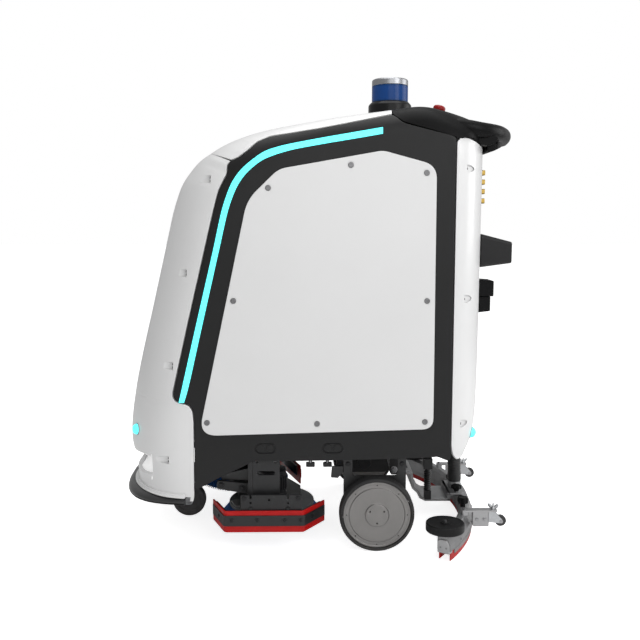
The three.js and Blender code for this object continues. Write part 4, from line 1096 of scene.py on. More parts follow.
# --- side shells, light strips, panels
panel_line = [[-301, 341], [352, 358], [350, 1082], [205, 1121], [-75, 1072], [-160, 990]]
panel_radii = [42, 32, 48, 60, 70, 120]
led_out = [[204.5, 1183], [135, 1171], [36, 1154], [-46, 1138.5], [-70, 1133], [-110, 1120], [-140, 1101], [-177, 1069], [-200, 1037], [-214, 1005], [-228, 963], [-253, 856], [-306, 638], [-346, 471], [-355, 434.5]]
led_in = [[-340, 434.5], [-329, 471], [-289, 638], [-237, 856], [-211, 963], [-198, 1000], [-184, 1030], [-162, 1060], [-124, 1092], [-97, 1105], [-46, 1121], [36, 1137], [135, 1153.5], [204.5, 1165.5]]


def side_outline():
    g = G0
    pts = []
    fs = [[-204.5 + g, 1094.5], [-213.5 + g, 1083], [-214 + g, 1062], [-236.6 + g, 1017], [-251.8 + g, 963], [-277.8 + g, 856], [-330.8 + g, 637], [-368 + g, 474], [-371 + g, 461], [-370.5 + g, 449.5],
          [-364, 441.5], [-355, 435.5 + g], [-344, 432.6 + g], [-334.8, 431 + g], [-325.4, 426], [-319, 417.6], [-315.6 + g, 406], [-314 + g, 380], [-314.2 + g, 340], [-314.7 + g, 290], [-315.5 + g, 211], [-315.8 + g, 186]]
    bottom = [[-288, 197], [-249, 218], [-166, 258.5], [-158, 264], [-150, 266.8], [-42, 267], [252, 272], [356, 276.5], [364, 277.4], [372, 275], [388, 268.5], [397, 266.5], [401.6, 270]]
    rear = [[401.9, 300], [401.9, 1149]]
    top = [[401.9, 1155.4], [330, 1176], [261, 1195], [250, 1203], [246, 1207], [234, 1216], [228, 1217.4], [204, 1212.2], [96, 1190.3], [38, 1179.3], [-46.5, 1166.3], [-97, 1159.3], [-133.5, 1144], [-162, 1117.5], [-187, 1101.5], [-196, 1098]]
    return fs + bottom + rear + top


O = resample(catmull(side_outline(), 6, closed=True), 420, closed=True)
C0 = np.array([30.0, 700.0])
panel_pts = fillet(panel_line, panel_radii, 10)
inner_loop = C0 + (resample(panel_pts, 600, closed=True) - C0) * 0.955
ia = np.unwrap(np.arctan2(*(inner_loop - C0).T[::-1]))
if ia[-1] < ia[0]:
    inner_loop, ia = inner_loop[::-1], ia[::-1]
ir = np.hypot(*(inner_loop - C0).T)
oa = np.arctan2(*(O - C0).T[::-1])
ia3 = np.r_[ia - 2 * math.pi, ia, ia + 2 * math.pi]
rI = np.interp(oa, ia3, np.r_[ir, ir, ir])
I = C0 + np.column_stack([np.cos(oa), np.sin(oa)]) * rI[:, None]
fr = [0, 0.035, 0.08, 0.14, 0.21, 0.3, 0.42, 0.58, 0.78, 1.0]
ring_yz = np.array([O + (I - O) * f for f in fr])
RXs = lift(ring_yz.reshape(-1, 2)).reshape(len(fr), -1)
RXs = np.maximum.accumulate(RXs, axis=0)
sv = np.concatenate([np.column_stack([RXs[i], ring_yz[i]]) for i in range(len(fr))])
nO = len(O)
sf = [[i * nO + j, i * nO + (j + 1) % nO, (i + 1) * nO + (j + 1) % nO, (i + 1) * nO + j] for i in range(len(fr) - 1) for j in range(nO)]

lo_ = resample(catmull(led_out, 8), 120)
li_ = resample(catmull(led_in, 8), 120)[::-1]
led_rows = np.array([lo_ + (li_ - lo_) * f for f in (0, 0.12, 0.35, 0.65, 0.88, 1.0)])
LX = lift(led_rows.reshape(-1, 2)).reshape(6, -1)
lv = np.concatenate([np.column_stack([LX[i] + 0.45, led_rows[i]]) for i in range(6)])
lf = [[i * 120 + j, i * 120 + j + 1, (i + 1) * 120 + j + 1, (i + 1) * 120 + j] for i in range(5) for j in range(119)]
led_loop = np.vstack([lo_, li_[::-1]])
lc = led_loop.mean(0)


def grown(loop, g):
    """closed side-view loop moved outwards by g"""
    n = len(loop)
    out = []
    area = 0.5 * sum(loop[i][0] * loop[(i + 1) % n][1] - loop[(i + 1) % n][0] * loop[i][1] for i in range(n))
    sgn = 1 if area > 0 else -1
    for i in range(n):
        t = loop[(i + 1) % n] - loop[i - 1]
        t = t / max(np.linalg.norm(t), 1e-9)
        out.append(loop[i] + g * sgn * np.array([t[1], -t[0]]))
    return np.array(out)


for side, sgn in (("left", 1), ("right", -1)):
    def m(vf):
        return vf if sgn > 0 else mirrored(vf)
    sh = make("side_shell_" + side + "_skin", m((sv, sf)), "chassis", "black", slot="shell_black", replaces="side_shell_" + side, solid=5, bevel=1.6, seg=3, ref=(0, 30, 700))
    loop = grown(led_loop, 0.7)
    carve(sh, m(prism(loop, 306.2, 330)))
    # flush service buttons: a slot-shaped recess with two round caps
    for yc in (-116, 72):
        carve(sh, m(prism(np.array(round_rect(yc - 29, yc + 29, 289, 319, 14.9, 8)), 306.2, 330)))
        ins = prism(np.array(round_rect(yc - 26.4, yc + 26.4, 291.6, 316.4, 12.3, 8)), 305.6, 308.4)
        caps = [lathe([(0, 306), (10.6, 306), (10.6, 309.6), (9.9, 310.1), (0, 310.2)], (0, yc + dy, 304), "X", 40) for dy in (-13.2, 13.2)]
        make("service_button_%s_%s" % (side, "front" if yc < 0 else "rear"), m(joined(ins, *caps)), "chassis", "black", slot="shell_black", bevel=0.5)
    make("light_strip_" + side + "_lens", m((lv, lf)), "chassis", "led", slot="led_cyan", replaces="led_strip_" + side, solid=2.6, bevel=0.5, seg=2, ref=(0, 30, 700))
    pan = make("side_panel_" + side + "_plate", m(prism(panel_pts, W + 0.4, W + 5.0)), "chassis", "panel", slot="panel_white", replaces="side_panel_" + side, bevel=1.7, seg=3)
    spots = [(-103, 1022), (119, 1083), (323, 1062), (-200, 718), (329, 717), (-277, 379), (28, 375), (328, 379)]
    for y, z in spots:
        carve(pan, m(lathe([(0, 313.2), (8.6, 313.2), (8.6, 320), (0, 320)], (0, y, z), "X", 32)))
    heads = [turned_to(socket_screw(7.6, 3.0), (sgn * 313.3, y, z), (sgn, 0, 0), 0.4 * i) for i, (y, z) in enumerate(spots)]
    make("panel_screws_" + side, joined(*heads), "chassis", "screw", slot="panel_white", sharp=30)

# front cover: scanner slot across the front, wedge pockets beside the seam
slot_yz = [[-760, 196], [-505, 203.5], [-440, 217.5], [-438.5, 219], [-438.5, 277], [-440, 278.5], [-524, 264], [-760, 262]]
carve(fc, prism(np.array(slot_yz), -600, 600))
for y0, y1, z0, z1 in ((-289, -260, 1058, 1036), (-353, -329, 803, 781), (-398, -370, 547, 524), (-425, -387, 281, 258)):
    for sgn in (1, -1):
        yz = np.array([[y1 - 2, (z0 + z1) / 2]])
        xe = float(lift(yz)[0])
        zc, h = (z0 + z1) / 2, abs(z0 - z1) / 2
        xf = float(lift(np.array([[y0, zc]]))[0])
        wedge = np.array([[y0 - 2, zc - 2, xf + 2], [y1, zc - h, xe - 10], [y1, zc + h, xe - 10]])
        V = [(xf + 1.5, y0 - 3, zc - h * 0.7), (xf + 1.5, y0 - 3, zc + h * 0.7), (xe - 10, y1, zc - h), (xe - 10, y1, zc + h),
             (xf + 30, y0 - 3, zc - h * 0.7), (xf + 30, y0 - 3, zc + h * 0.7), (xe + 30, y1, zc - h), (xe + 30, y1, zc + h)]
        Fq = [[0, 1, 3, 2], [4, 6, 7, 5], [0, 2, 6, 4], [1, 5, 7, 3], [2, 3, 7, 6], [0, 4, 5, 1]]
        vf = (np.array(V), Fq)
        carve(fc, vf if sgn > 0 else mirrored(vf))
        dots = joined(*[turned_to(lathe([(0, -1), (3.2, -1), (3.2, 1.6), (2.5, 2.1), (0, 2.1)], (0, 0, 0), "Z", 20), (sgn * (xe - 5.4), y1 - 0.4, zc + d), (0, -1, 0)) for d in (-h * 0.4, h * 0.4)])
        make("pocket_screws_%d_%s" % (z0, "left" if sgn > 0 else "right"), dots, "chassis", "bolt_dark", slot="cover_white")
# rear cover: finger pockets, one beside each fastener
for y0, y1, z0, z1 in ((434, 458, 1085, 1064), (434, 458, 732, 709), (430, 453, 381, 358)):
    for sgn in (1, -1):
        zc, h = (z0 + z1) / 2, abs(z0 - z1) / 2
        x0, x1 = float(lift(np.array([[y0, zc]]))[0]), float(lift(np.array([[y1, zc]]))[0])
        arc = [(y0, zc - h), (y0, zc + h)] + [(y0 + (y1 - y0) * math.sin(a), zc + h * math.cos(a)) for a in np.linspace(0.15, math.pi - 0.15, 12)]
        V = [(x0 - 9 + (x1 + 4.5 - x0) * (y - y0) / (y1 - y0), y, z) for y, z in arc] + [(x0 + 30, y, z) for y, z in arc]
        n = len(arc)
        Fq = [list(range(n)), list(range(2 * n - 1, n - 1, -1))] + [[i, n + i, n + (i + 1) % n, (i + 1) % n] for i in range(n)]
        vf = (np.array(V), Fq)
        carve(rc, vf if sgn > 0 else mirrored(vf))
        dot = turned_to(lathe([(0, -1), (3.2, -1), (3.2, 1.4), (0, 1.9)], (0, 0, 0), "Z", 20), (sgn * (x0 - 4.5), y0 + 0.5, zc), (0, 1, 0))
        make("rear_pocket_screw_%d_%s" % (z0, "left" if sgn > 0 else "right"), dot, "chassis", "bolt_dark", slot="cover_white")
carve(rc, boxy(-28.5, 28.5, 415, 540, 200, 308))

# slot liner and the low scanner in its bay
lin = [[-517, 198.2], [-505, 198.5], [-434.5, 213.5], [-434.5, 284], [-520, 269.2]]
def slot_sheet():
    """the liner: floor, back and ceiling of the slot, following the cover's inner face in plan"""
    zs = [(-505, 201.0), (-440, 215.2), (-436.2, 219), (-436.2, 277.5), (-441, 281), (-522, 266.3)]
    V, F = [], []
    xs = np.linspace(-1, 1, 41)
    for i, (y, z) in enumerate(zs):
        for t in xs:
            if i in (0, 5):
                # outer edge follows the cover's front, 6 mm inside it
                ang = t
                x = t * 262
                yy = y
                for _ in range(12):
                    hw = float(lift(np.array([[yy, z]]))[0])
                    if hw - 7 < abs(x):
                        yy += 6
                V.append((x, min(yy + 7, -442), z))
            else:
                V.append((t * 262, y, z))
    m = len(xs)
    for i in range(len(zs) - 1):
        for j in range(m - 1):
            F.append([i * m + j, i * m + j + 1, (i + 1) * m + j + 1, (i + 1) * m + j])
    return np.array(V), F
# the liner takes the glowing liner plastic: painted light that lifts the slot floor out of its shade
liner = make("slot_liner", slot_sheet(), "chassis", "liner", slot="cover_white", solid=2.2, bevel=0)
carve(liner, boxy(-58, 58, -441, -425, 218.5, 262))
make("scanner_housing", lathe([(0, 217.2), (34, 217.2), (35.6, 218.8), (35.6, 223), (34.6, 224), (34.6, 243), (35.6, 244), (35.6, 247.5), (33.5, 249.8), (0, 249.8)], (0, -444, 0), "Z", 72),
     "chassis", "scanner", slot="sensor_black", replaces="front_scanner", bevel=0.5)

# ------------------------------------------------------------------ lamps
for nm, x, y, z in (("front", 211, -488, 336), ("rear", 208, 476, 322)):
    for side, sgn in (("left", 1), ("right", -1)):
        yz = np.array([[y, z]])
        # outward direction of the housing here
        e = 2.0
        hx = float(lift(yz)[0])
        gy = (float(lift(np.array([[y + e, z]]))[0]) - float(lift(np.array([[y - e, z]]))[0])) / (2 * e)
        gz = (float(lift(np.array([[y, z + e]]))[0]) - float(lift(np.array([[y, z - e]]))[0])) / (2 * e)
        nrm = Vector((1, -gy, -gz)).normalized()
        d = 0.0
        c = Vector((x, y, z)) + nrm * ((hx - x) * nrm.x)
        nv = (nrm.x * sgn, nrm.y, nrm.z)
        c = (c.x * sgn, c.y, c.z)
        bezel = lathe([(12.5, -3), (17.2, -3), (17.2, 0.8), (16.6, 1.4), (15.9, 1.4), (15.2, 0.8), (12.5, 0.6), (12.5, -3)], (0, 0, 0), "Z", 56)
        make("%s_lamp_bezel_%s" % (nm, side), turned_to(bezel, c, nv), "chassis", "grey_plastic", slot="cover_white", bevel=0.3)
        dome = [(15.2 * math.cos(math.radians(q)), 1.0 + 12.5 * math.sin(math.radians(q))) for q in range(0, 90, 9)] + [(0, 13.5)]
        lens = lathe([(0, -2), (15.2, -2)] + dome, (0, 0, 0), "Z", 56)
        make("%s_lamp_lens_%s" % (nm, side), turned_to(lens, c, nv), "chassis", "led", slot="lamp_cyan", replaces="%s_lamp_%s" % (nm, side), bevel=0.3)

# ------------------------------------------------------------------ top sensor
make("sensor_foot", lathe([(0, 1226), (64.8, 1226), (64.8, 1277), (64.2, 1280), (62.4, 1283), (59.4, 1286.2), (57.2, 1288.4), (55, 1289.3), (0, 1289.3)],
     (0, 253, 0), "Z", 128), "chassis", "screen_bezel", slot="lidar_ring", replaces="lidar_base", bevel=0.5, sharp=30)
make("sensor_window", lathe([(49.5, 1289.7), (54.3, 1289.7), (54.5, 1290.5), (54.5, 1313), (54.5, 1336), (54.2, 1336.9), (49.5, 1336.9), (49.5, 1289.7)], (0, 253, 0), "Z", 128),
     "chassis", "blue_window", slot="lidar_blue", replaces="lidar_window", bevel=0.3)
make("sensor_rotor", lathe([(0, 1289.7), (40, 1289.7), (40, 1300), (44, 1300), (44, 1325), (40, 1325), (40, 1336.8), (0, 1336.8)], (0, 253, 0), "Z", 64), "chassis", "dark", slot="lidar_ring", bevel=0.6)
make("sensor_cap", lathe([(0, 1337.3), (53.4, 1337.3), (54.4, 1338.2), (54.4, 1351.5), (53.9, 1353.6), (52.2, 1355.6), (49.8, 1356.7), (46, 1357), (30, 1357), (29.2, 1356.6), (0, 1356.6)], (0, 253, 0), "Z", 128),
     "chassis", "cap", slot="lidar_silver", replaces="lidar_cap", bevel=0.3)

# ------------------------------------------------------------------ stop button and screen
tilt = Vector((0, -math.sin(math.radians(-14)), math.cos(math.radians(14))))
tilt = Matrix.Rotation(math.radians(-14), 3, "X") @ Vector((0, 0, 1))
stop = lathe([(0, -14), (7.9, -14), (7.9, 4.2), (12.5, 4.6), (16.4, 6.0), (17.4, 8.0), (17.4, 12.5), (16.6, 15.4), (14.4, 17.8), (10.5, 19.5), (5, 20.3), (0, 20.4)], (0, 0, 0), "Z", 72)
make("stop_head", turned_to(stop, (180, 372, 1237.5), tilt), "stop_switch", "red_knob", slot="stop_red", replaces="estop_button", bevel=0.4)
collar = lathe([(9.4, -4), (21.5, -4), (21.5, 1.2), (20.6, 2.4), (19.4, 2.8), (18.5, 2.4), (18.4, 1.8), (18.4, -0.7), (9.4, -0.7), (9.4, -4)], (0, 0, 0), "Z", 72)
make("stop_collar", turned_to(collar, (180, 372, 1237.5), tilt), "chassis", "grip", slot="shell_black", bevel=0.4)
sc = np.array([[424.4, 1224.1], [501.6, 1196.4], [501.6, 1203.0], [424.4, 1230.7]])
make("screen_bezel", prism(sc, -79.7, 79.7), "chassis", "screen_bezel", slot="screen_black", bevel=1.2, seg=3)
up = np.array([-(1220.9 - 1248.7), 502 - 424.0]) / math.hypot(502 - 424.0, 27.8)
g0, g1 = np.array([430.0, 1228.7]), np.array([496.0, 1205.0])
glass = np.array([g0 - up * 2, g1 - up * 2, g1 + up * 0.6, g0 + up * 0.6])
make("screen_glass", prism(glass, -73.5, 73.5), "chassis", "glass", slot="screen_black", replaces="touch_screen", bevel=0.3)

# ------------------------------------------------------------------ rear face: contacts, dock, hose port
cb = prism(np.array(round_rect(-31.8, 31.8, 972.3, 1103.7, 9, 6)), 514.6, 529.4, "Y")
cbo = make("contact_block", cb, "chassis", "dock", slot="contact_gold", replaces="charging_contacts", bevel=1.8, seg=3)
for i, z in enumerate((1080, 1052, 1023.5, 995)):
    carve(cbo, prism(np.array(round_rect(-22.5, 22.5, z - 10.3, z + 10.3, 3, 4)), 526.5, 540, "Y"))
    make("contact_pad_%d" % (i + 1), prism(np.array(round_rect(-19.8, 19.8, z - 7.8, z + 7.8, 3.5, 5)), 525, 544.6, "Y"), "chassis", "gold", slot="contact_gold", bevel=1.6, seg=3)


def tapered(rect0, rect1, n=7, ease=None):
    """box that tapers along +Y; each rect is (y, x half width, z low, z high, corner radius)"""
    rings = []
    for i in range(n):
        t = i / (n - 1)
        y, hx, z0, z1, r = [a + (b - a) * t for a, b in zip(rect0, rect1)]
        ring = np.array(round_rect(-hx, hx, z0, z1, r, 6))
        rings.append(np.column_stack([ring[:, 0], np.full(len(ring), y), ring[:, 1]]))
    return rings_loft(rings)


dk = make("dock_block", tapered((514.7, 121.8, 797.3, 896.7, 12), (614.6, 92, 808.3, 871.7, 9), 3), "chassis", "dock", slot="shell_black", replaces="dock_housing", bevel=2.6, seg=3)
carve(dk, prism(np.array(round_rect(-72, 72, 822, 858, 8, 6)), 608.5, 640, "Y"))
make("dock_plate", prism(np.array(round_rect(-71.2, 71.2, 822.8, 857.2, 7.4, 6)), 604, 610.2, "Y"), "chassis", "port", slot="shell_black", bevel=0.8)
for i, x in enumerate((-45, 45)):
    make("dock_screw_%d" % (i + 1), turned_to(socket_screw(6, 2.4), (x, 610.0, 840), (0, 1, 0)), "chassis", "bolt_dark", slot="shell_black", sharp=30)
port = make("port_block", tapered((514.6, 44.8, 704.3, 755.7, 5), (573.6, 44.8, 704.3, 752, 5), 2), "chassis", "port", slot="shell_black", replaces="hose_port", bevel=2.2, seg=3)
carve(port, prism(np.array(round_rect(-33, 33, 712, 744, 5, 5)), 562, 600, "Y"))
make("port_foot", tapered((514.6, 37.8, 652.3, 703.9, 4), (565.6, 37.8, 658, 703.9, 4), 2), "chassis", "port", slot="shell_black", bevel=2.0, seg=3)
make("port_seal", prism(np.array(round_rect(-32.2, 32.2, 712.8, 743.2, 4.6, 5)), 555, 563.4, "Y"), "chassis", "hose", slot="shell_black", bevel=0.8)

# ------------------------------------------------------------------ front bumper
bp = catmull([(312, -343), (309.5, -368), (305.5, -394), (296.5, -424.5), (280.5, -457), (253, -487.5), (210, -514), (155, -533.5), (80, -544.6), (0, -547.6)], 9)
bp = np.vstack([bp, (bp[:-1] * [-1, 1])[::-1]])[::-1]
rub = [(-0.4, 145.5), (-0.05, 148), (-0.6, 150.6), (-2.4, 153.6), (-5.5, 156.6), (-10, 159.2), (-16, 161.3), (-23, 162.5), (-32.8, 162.9), (-32.8, 155), (-14, 155), (-10.5, 153), (-9.5, 149), (-9.5, 143), (-8.5, 141), (-6, 140.2), (-3.4, 141), (-1.4, 143.4)]
make("bumper_skin", sweep(rub, bp), "bumper", "bumper", slot="bumper_rubber", replaces="front_bumper", bevel=0)
rail = [(-10.6, 141.6), (-10.6, 154.2), (-32.4, 154.2), (-32.4, 141.6)]
make("bumper_rail", sweep(rail, bp[4:-4]), "bumper", "powder", slot="bumper_rubber", bevel=0.8)
make("bumper_lip", sweep([(-0.15, 142.6), (-0.05, 146.2), (-0.4, 146.4), (-1.8, 142.8)], bp[1:-1]), "bumper", "grip", slot="bumper_rubber", bevel=0)
for i, x in enumerate((-60, 60)):
    make("bumper_rod_%d" % (i + 1), lathe([(0, -513), (4.8, -513), (4.8, -437.5), (4.0, -436.5), (0, -436.5)], (x, 0, 153), "Y", 32), "bumper", "bolt", slot="bumper_rubber", bevel=0.2)
for i, x in enumerate((-250, -150, 150, 250)):
    j = int(np.argmin(np.abs(bp[:, 0] - x)))
    make("bumper_screw_%d" % (i + 1), turned_to(socket_screw(4.6, 1.6), (bp[j, 0] * 0.94, bp[j, 1] + 21, 141.9), (0, 0, -1)), "bumper", "bolt_dark", slot="bumper_rubber", sharp=30)
# stepped flange of the cover, just above the bumper
th = np.radians(np.linspace(4, 90, 46))
fo = np.column_stack([W - 250 * (1 - np.cos(th)), -514 + 186 * (1 - np.sin(th))])
fo = np.vstack([fo, [[0, -514]], (fo * [-1, 1])[::-1]])[::-1]
make("cover_flange", sweep([(-6, 163.2), (10, 163.2), (11, 164), (11, 167.0), (10.2, 167.9), (6.2, 168.1), (5.2, 168.9), (5.2, 172.4), (4.4, 173.4), (-6, 173.4)], fo), "chassis", "white", slot="cover_white", bevel=0, sharp=40)

# ------------------------------------------------------------------ drive wheels
AY, AZ = 198, 107
tread = [(88.5, 264.5), (98.0, 262.6), (102.6, 263.4), (105.2, 266.2), (106.3, 270), (106.9, 276)]
prof = []
xs = np.linspace(276, 296, 41)
for x in xs:
    groove = any(abs(x - g) < 0.9 for g in (278.5, 286, 293.5))
    prof.append((104.6 if groove else 106.95, x))
prof = tread[:-1] + prof + [(106.3, 302), (105.2, 305.8), (102.6, 308.6), (99.6, 309.6), (97.3, 309.2), (97.0, 307), (97.0, 270), (97.0, 264.5)]
prof = [(97.0, 264.5), (98.0, 262.8), (102.6, 263.2), (105.2, 266.0), (106.3, 270)] + [(104.6 if any(abs(x - g) < 0.9 for g in (279, 286, 293)) else 106.95, x) for x in np.linspace(273, 299, 53)] + \
       [(106.3, 302), (105.2, 305.8), (102.6, 308.4), (99.6, 309.4), (97.4, 309.0), (97.0, 307), (97.0, 285), (97.0, 264.5)]
disc = [(0, 251.3), (59.6, 251.3), (60, 252), (60, 264.2), (96.2, 264.2), (96.4, 303.4), (95.6, 304.8), (93.6, 305.4), (90.6, 305.2), (89.8, 304.2), (80.4, 303.6), (79.4, 304.2), (78.6, 306.2), (77.2, 306.8),
        (72, 306.4), (48, 304.6), (38, 304.0), (34.4, 304.2), (33.4, 305.2), (33.2, 307.6), (32.0, 308.8), (28, 309.0), (14, 309.0), (0, 309.0)]
for side, sgn in (("left", 1), ("right", -1)):
    def m(vf):
        return vf if sgn > 0 else mirrored(vf)
    bd = "wheel_" + side
    make("tyre_" + side, m(lathe(prof, (0, AY, AZ), "X", 144)), bd, "tyre", slot="tyre_rubber", replaces="drive_tyre_" + side, bevel=0, sharp=42)
    h = make("wheel_disc_" + side, m(lathe(disc, (0, AY, AZ), "X", 144)), bd, "spun", slot="hub_metal", replaces="drive_hub_" + side, bevel=0.35, sharp=30)
    holes = []
    for i in range(3):
        a = math.radians(-90 + 120 * i)
        holes.append(m(lathe([(0, 300), (2.6, 300), (2.6, 320), (0, 320)], (0, AY + 23 * math.cos(a), AZ + 23 * math.sin(a)), "X", 24)))
    for i in range(8):
        a = math.radians(90 + 45 * i)
        holes.append(m(lathe([(0, 301.5), (2.0, 301.5), (2.0, 320), (0, 320)], (0, AY + 86.5 * math.cos(a), AZ + 86.5 * math.sin(a)), "X", 20)))
    carve(h, *holes)
    bolts = []
    for i in range(8):
        a = math.radians(22.5 + 45 * i)
        bolts.append(turned_to(socket_screw(1.7, 0.8), (sgn * 301.6, AY + 86.5 * math.cos(math.radians(90 + 45 * i)), AZ + 86.5 * math.sin(math.radians(90 + 45 * i))), (sgn, 0, 0), i))
    make("wheel_bolts_" + side, joined(*bolts), bd, "bolt_dark", slot="hub_metal", sharp=30)

# drive brackets: an L plate with an axle boss, stiffener and bolts
for side, sgn in (("left", 1), ("right", -1)):
    def m(vf):
        return vf if sgn > 0 else mirrored(vf)
    yz = fillet([[105.3, 60.3], [285.7, 60.3], [285.7, 285.4], [105.3, 285.4]], [22, 22, 4, 4], 6)
    pl = make("wheel_bracket_" + side, m(prism(yz, 243.1, 248.9)), "chassis", "powder", slot="bracket_steel", replaces="drive_bracket_" + side, bevel=0.9, seg=2)
    carve(pl, m(prism(np.array(round_rect(131, 262, 205, 269, 8, 6)), 230, 260)))
    carve(pl, *[m(lathe([(0, 230), (5, 230), (5, 260), (0, 260)], (0, y, z), "X", 24)) for y, z in ((118, 240), (274, 240))])
    make("bracket_flange_" + side, m(prism(np.array(round_rect(110.5, 280.5, 170.4, 242.9, 5, 5))[:, [1, 0]], 279.2, 285.4, "Z")), "chassis", "powder", slot="bracket_steel", bevel=0.8)
    make("wheel_motor_" + side, m(lathe([(0, 200.2), (22, 200.2), (23.6, 202), (23.6, 206), (22.6, 207), (22.6, 236), (23.6, 237), (23.6, 242.9), (0, 242.9)], (0, AY, AZ), "X", 64)), "chassis", "motor", slot="bracket_steel", bevel=0.5)
    make("wheel_axle_" + side, m(lathe([(0, 248.7), (27, 248.7), (27, 250.4), (8, 250.7), (8, 251.0), (0, 251.0)], (0, AY, AZ), "X", 48)), "chassis", "bolt", slot="bracket_steel")
    heads = [turned_to(hex_bolt(5.6, 4.4), (sgn * 248.9, y, z), (sgn, 0, 0)) for y, z in ((118, 240), (274, 240), (118, 276), (274, 276))]
    heads += [turned_to(hex_bolt(5.6, 4.2), (sgn * x, y, 279.2), (0, 0, -1)) for x in (185, 228) for y in (126, 266)]
    make("bracket_bolts_" + side, joined(*heads), "chassis", "bolt_dark", slot="bracket_steel", sharp=30)
    yz = np.array([[69, 198], [89, 196], [104.9, 214], [104.9, 231], [72, 231]])
    make("bracket_stay_" + side, m(prism(fillet(yz, 3, 3), 236, 243)), "chassis", "powder", slot="bracket_steel", bevel=0.7)

# ------------------------------------------------------------------ front caster
CY = -410.5
fork = joined(lathe([(0, 124.3), (24, 124.3), (24, 135), (23, 135.2), (0, 135.2)], (0, CY, 0), "Z", 56), lathe([(0, 135), (9.3, 135), (9.3, 143.6), (0, 143.6)], (0, CY, 0), "Z", 32))
make("caster_swivel_head", fork, "caster_swivel", "zinc", slot="bracket_steel", replaces="caster_fork", bevel=0.8)
make("caster_plate", prism(np.array(round_rect(-438.3, -367.7, -26.8, 26.8, 7, 5))[:, [1, 0]], 124.2, 129.8, "Z"), "caster_swivel", "zinc", slot="bracket_steel", bevel=0.9)
chk = fillet([[-390, 40], [-361.5, 40], [-367.8, 124.6], [-430.2, 124.6]], [12, 12, 3, 3], 6)
for sgn in (1, -1):
    make("caster_cheek_%s" % ("left" if sgn > 0 else "right"), prism(chk, 19.3, 23.7) if sgn > 0 else mirrored(prism(chk, 19.3, 23.7)), "caster_swivel", "zinc", slot="bracket_steel", bevel=0.8)
    make("caster_nut_%s" % ("left" if sgn > 0 else "right"), turned_to(hex_bolt(7, 3.0), (sgn * 23.7, -375.5, 52.5), (sgn, 0, 0)), "caster_swivel", "bolt", slot="bracket_steel", sharp=30)
cw = [(8, -14.6), (12, -15.4), (14, -15.4), (16, -12.6), (33, -11.8), (36, -12.6), (38, -14.6), (46.5, -15.6), (49.8, -14.2), (51.6, -11.6), (52.4, -8), (52.4, 8), (51.6, 11.6), (49.8, 14.2), (46.5, 15.6), (38, 14.6), (36, 12.6),
      (33, 11.8), (16, 12.6), (14, 15.4), (12, 15.4), (8, 14.6), (8, -14.6)]
make("caster_tyre", lathe(cw, (0, -375.5, 52.5), "X", 96), "caster_roller", "caster", slot="caster_tread", replaces="caster_wheel", bevel=0.4, sharp=40)
make("caster_bush", lathe([(4.2, -17.2), (7.7, -17.2), (7.7, 17.2), (4.2, 17.2), (4.2, -17.2)], (0, -375.5, 52.5), "X", 40), "caster_roller", "bolt", slot="caster_tread", bevel=0.3)

# ------------------------------------------------------------------ base frame
def slab(outline, z0, z1, r=3):
    return prism(fillet(outline, r, 4), z0, z1, "Z")


fr_parts = []
make("frame_plate", slab([[-304, -307.8], [304, -307.8], [304, 384.8], [-304, 384.8]], 286.2, 293.8, 14), "chassis", "powder", slot="frame_steel", replaces="base_frame", bevel=0.9)
for sgn in (1, -1):
    s = "left" if sgn > 0 else "right"
    xa, xb = (225.2, 254.8) if sgn > 0 else (-254.8, -225.2)
    for nm, y0, y1, zt in (("rear", 325.2, 354.8, 1120), ("mid", -149.8, -120.2, 1040)):
        make("frame_post_%s_%s" % (nm, s), prism(np.array(round_rect(xa, xb, y0, y1, 4, 4)), 293.9, zt, "Z"), "chassis", "powder", slot="frame_steel", bevel=0.8)
    make("frame_rail_%s" % s, boxy(xa, xb, -120, 325, 1030.2, 1049.8), "chassis", "powder", slot="frame_steel", bevel=1.5)
    make("hinge_lug_%s" % s, prism(fillet([[256.2, 286], [256.2, 160], [262, 152.3], [278, 152.3], [283.8, 160], [283.8, 286]], [0, 8, 6, 6, 8, 0], 5), sgn * 68.2, sgn * 75.8), "chassis", "powder", slot="frame_steel", bevel=0.8)
    make("hinge_nut_%s" % s, turned_to(hex_bolt(8, 4), (sgn * 75.8, 270, 168), (sgn, 0, 0)), "chassis", "bolt", slot="frame_steel", sharp=30)
make("frame_cross", boxy(-225, 225, 330.2, 354.8, 1105.2, 1119.8), "chassis", "powder", slot="frame_steel", bevel=1.5)
make("hinge_pin", lathe([(0, -73), (5.8, -73), (5.8, 73), (0, 73)], (0, 270, 168), "X", 32), "chassis", "bolt", slot="frame_steel")
make("frame_front_beam", prism(fillet([[-311.8, 136.2], [-302.2, 136.2], [-302.2, 293.8], [-311.8, 293.8]], 2, 3), -89.8, 89.8), "chassis", "powder", slot="frame_steel", bevel=0.9)
make("frame_tongue", slab([[-89.8, -471.8], [89.8, -471.8], [89.8, -302.2], [-89.8, -302.2]], 136.3, 145.8, 16), "chassis", "powder", slot="frame_steel", bevel=0.9)
guides = []
for x in (-60, 60):
    guides.append(prism(np.array(round_rect(x - 11.8, x + 11.8, 145.6, 161.8, 3, 4)), -469.8, -440.2, "Y"))
make("bumper_guides", joined(*guides), "chassis", "powder", slot="frame_steel", bevel=0.8)
# blocks hung under the body between the wheel bracket and the squeegee linkage
for i, (y0, y1) in enumerate(((-3, 23), (47, 73))):
    for sgn in (1, -1):
        make("under_block_%d_%s" % (i + 1, "left" if sgn > 0 else "right"), prism(np.array(round_rect(y0, y1, 219, 231.5, 3, 4)), 196, 210) if sgn > 0 else mirrored(prism(np.array(round_rect(y0, y1, 219, 231.5, 3, 4)), 196, 210)),
             "chassis", "powder", slot="frame_steel", bevel=0.8)
        make("under_post_%d_%s" % (i + 1, "left" if sgn > 0 else "right"), lathe([(0, 231), (5, 231), (5, 286.5), (0, 286.5)], (sgn * 203, (y0 + y1) / 2, 0), "Z", 24), "chassis", "bolt", slot="frame_steel")

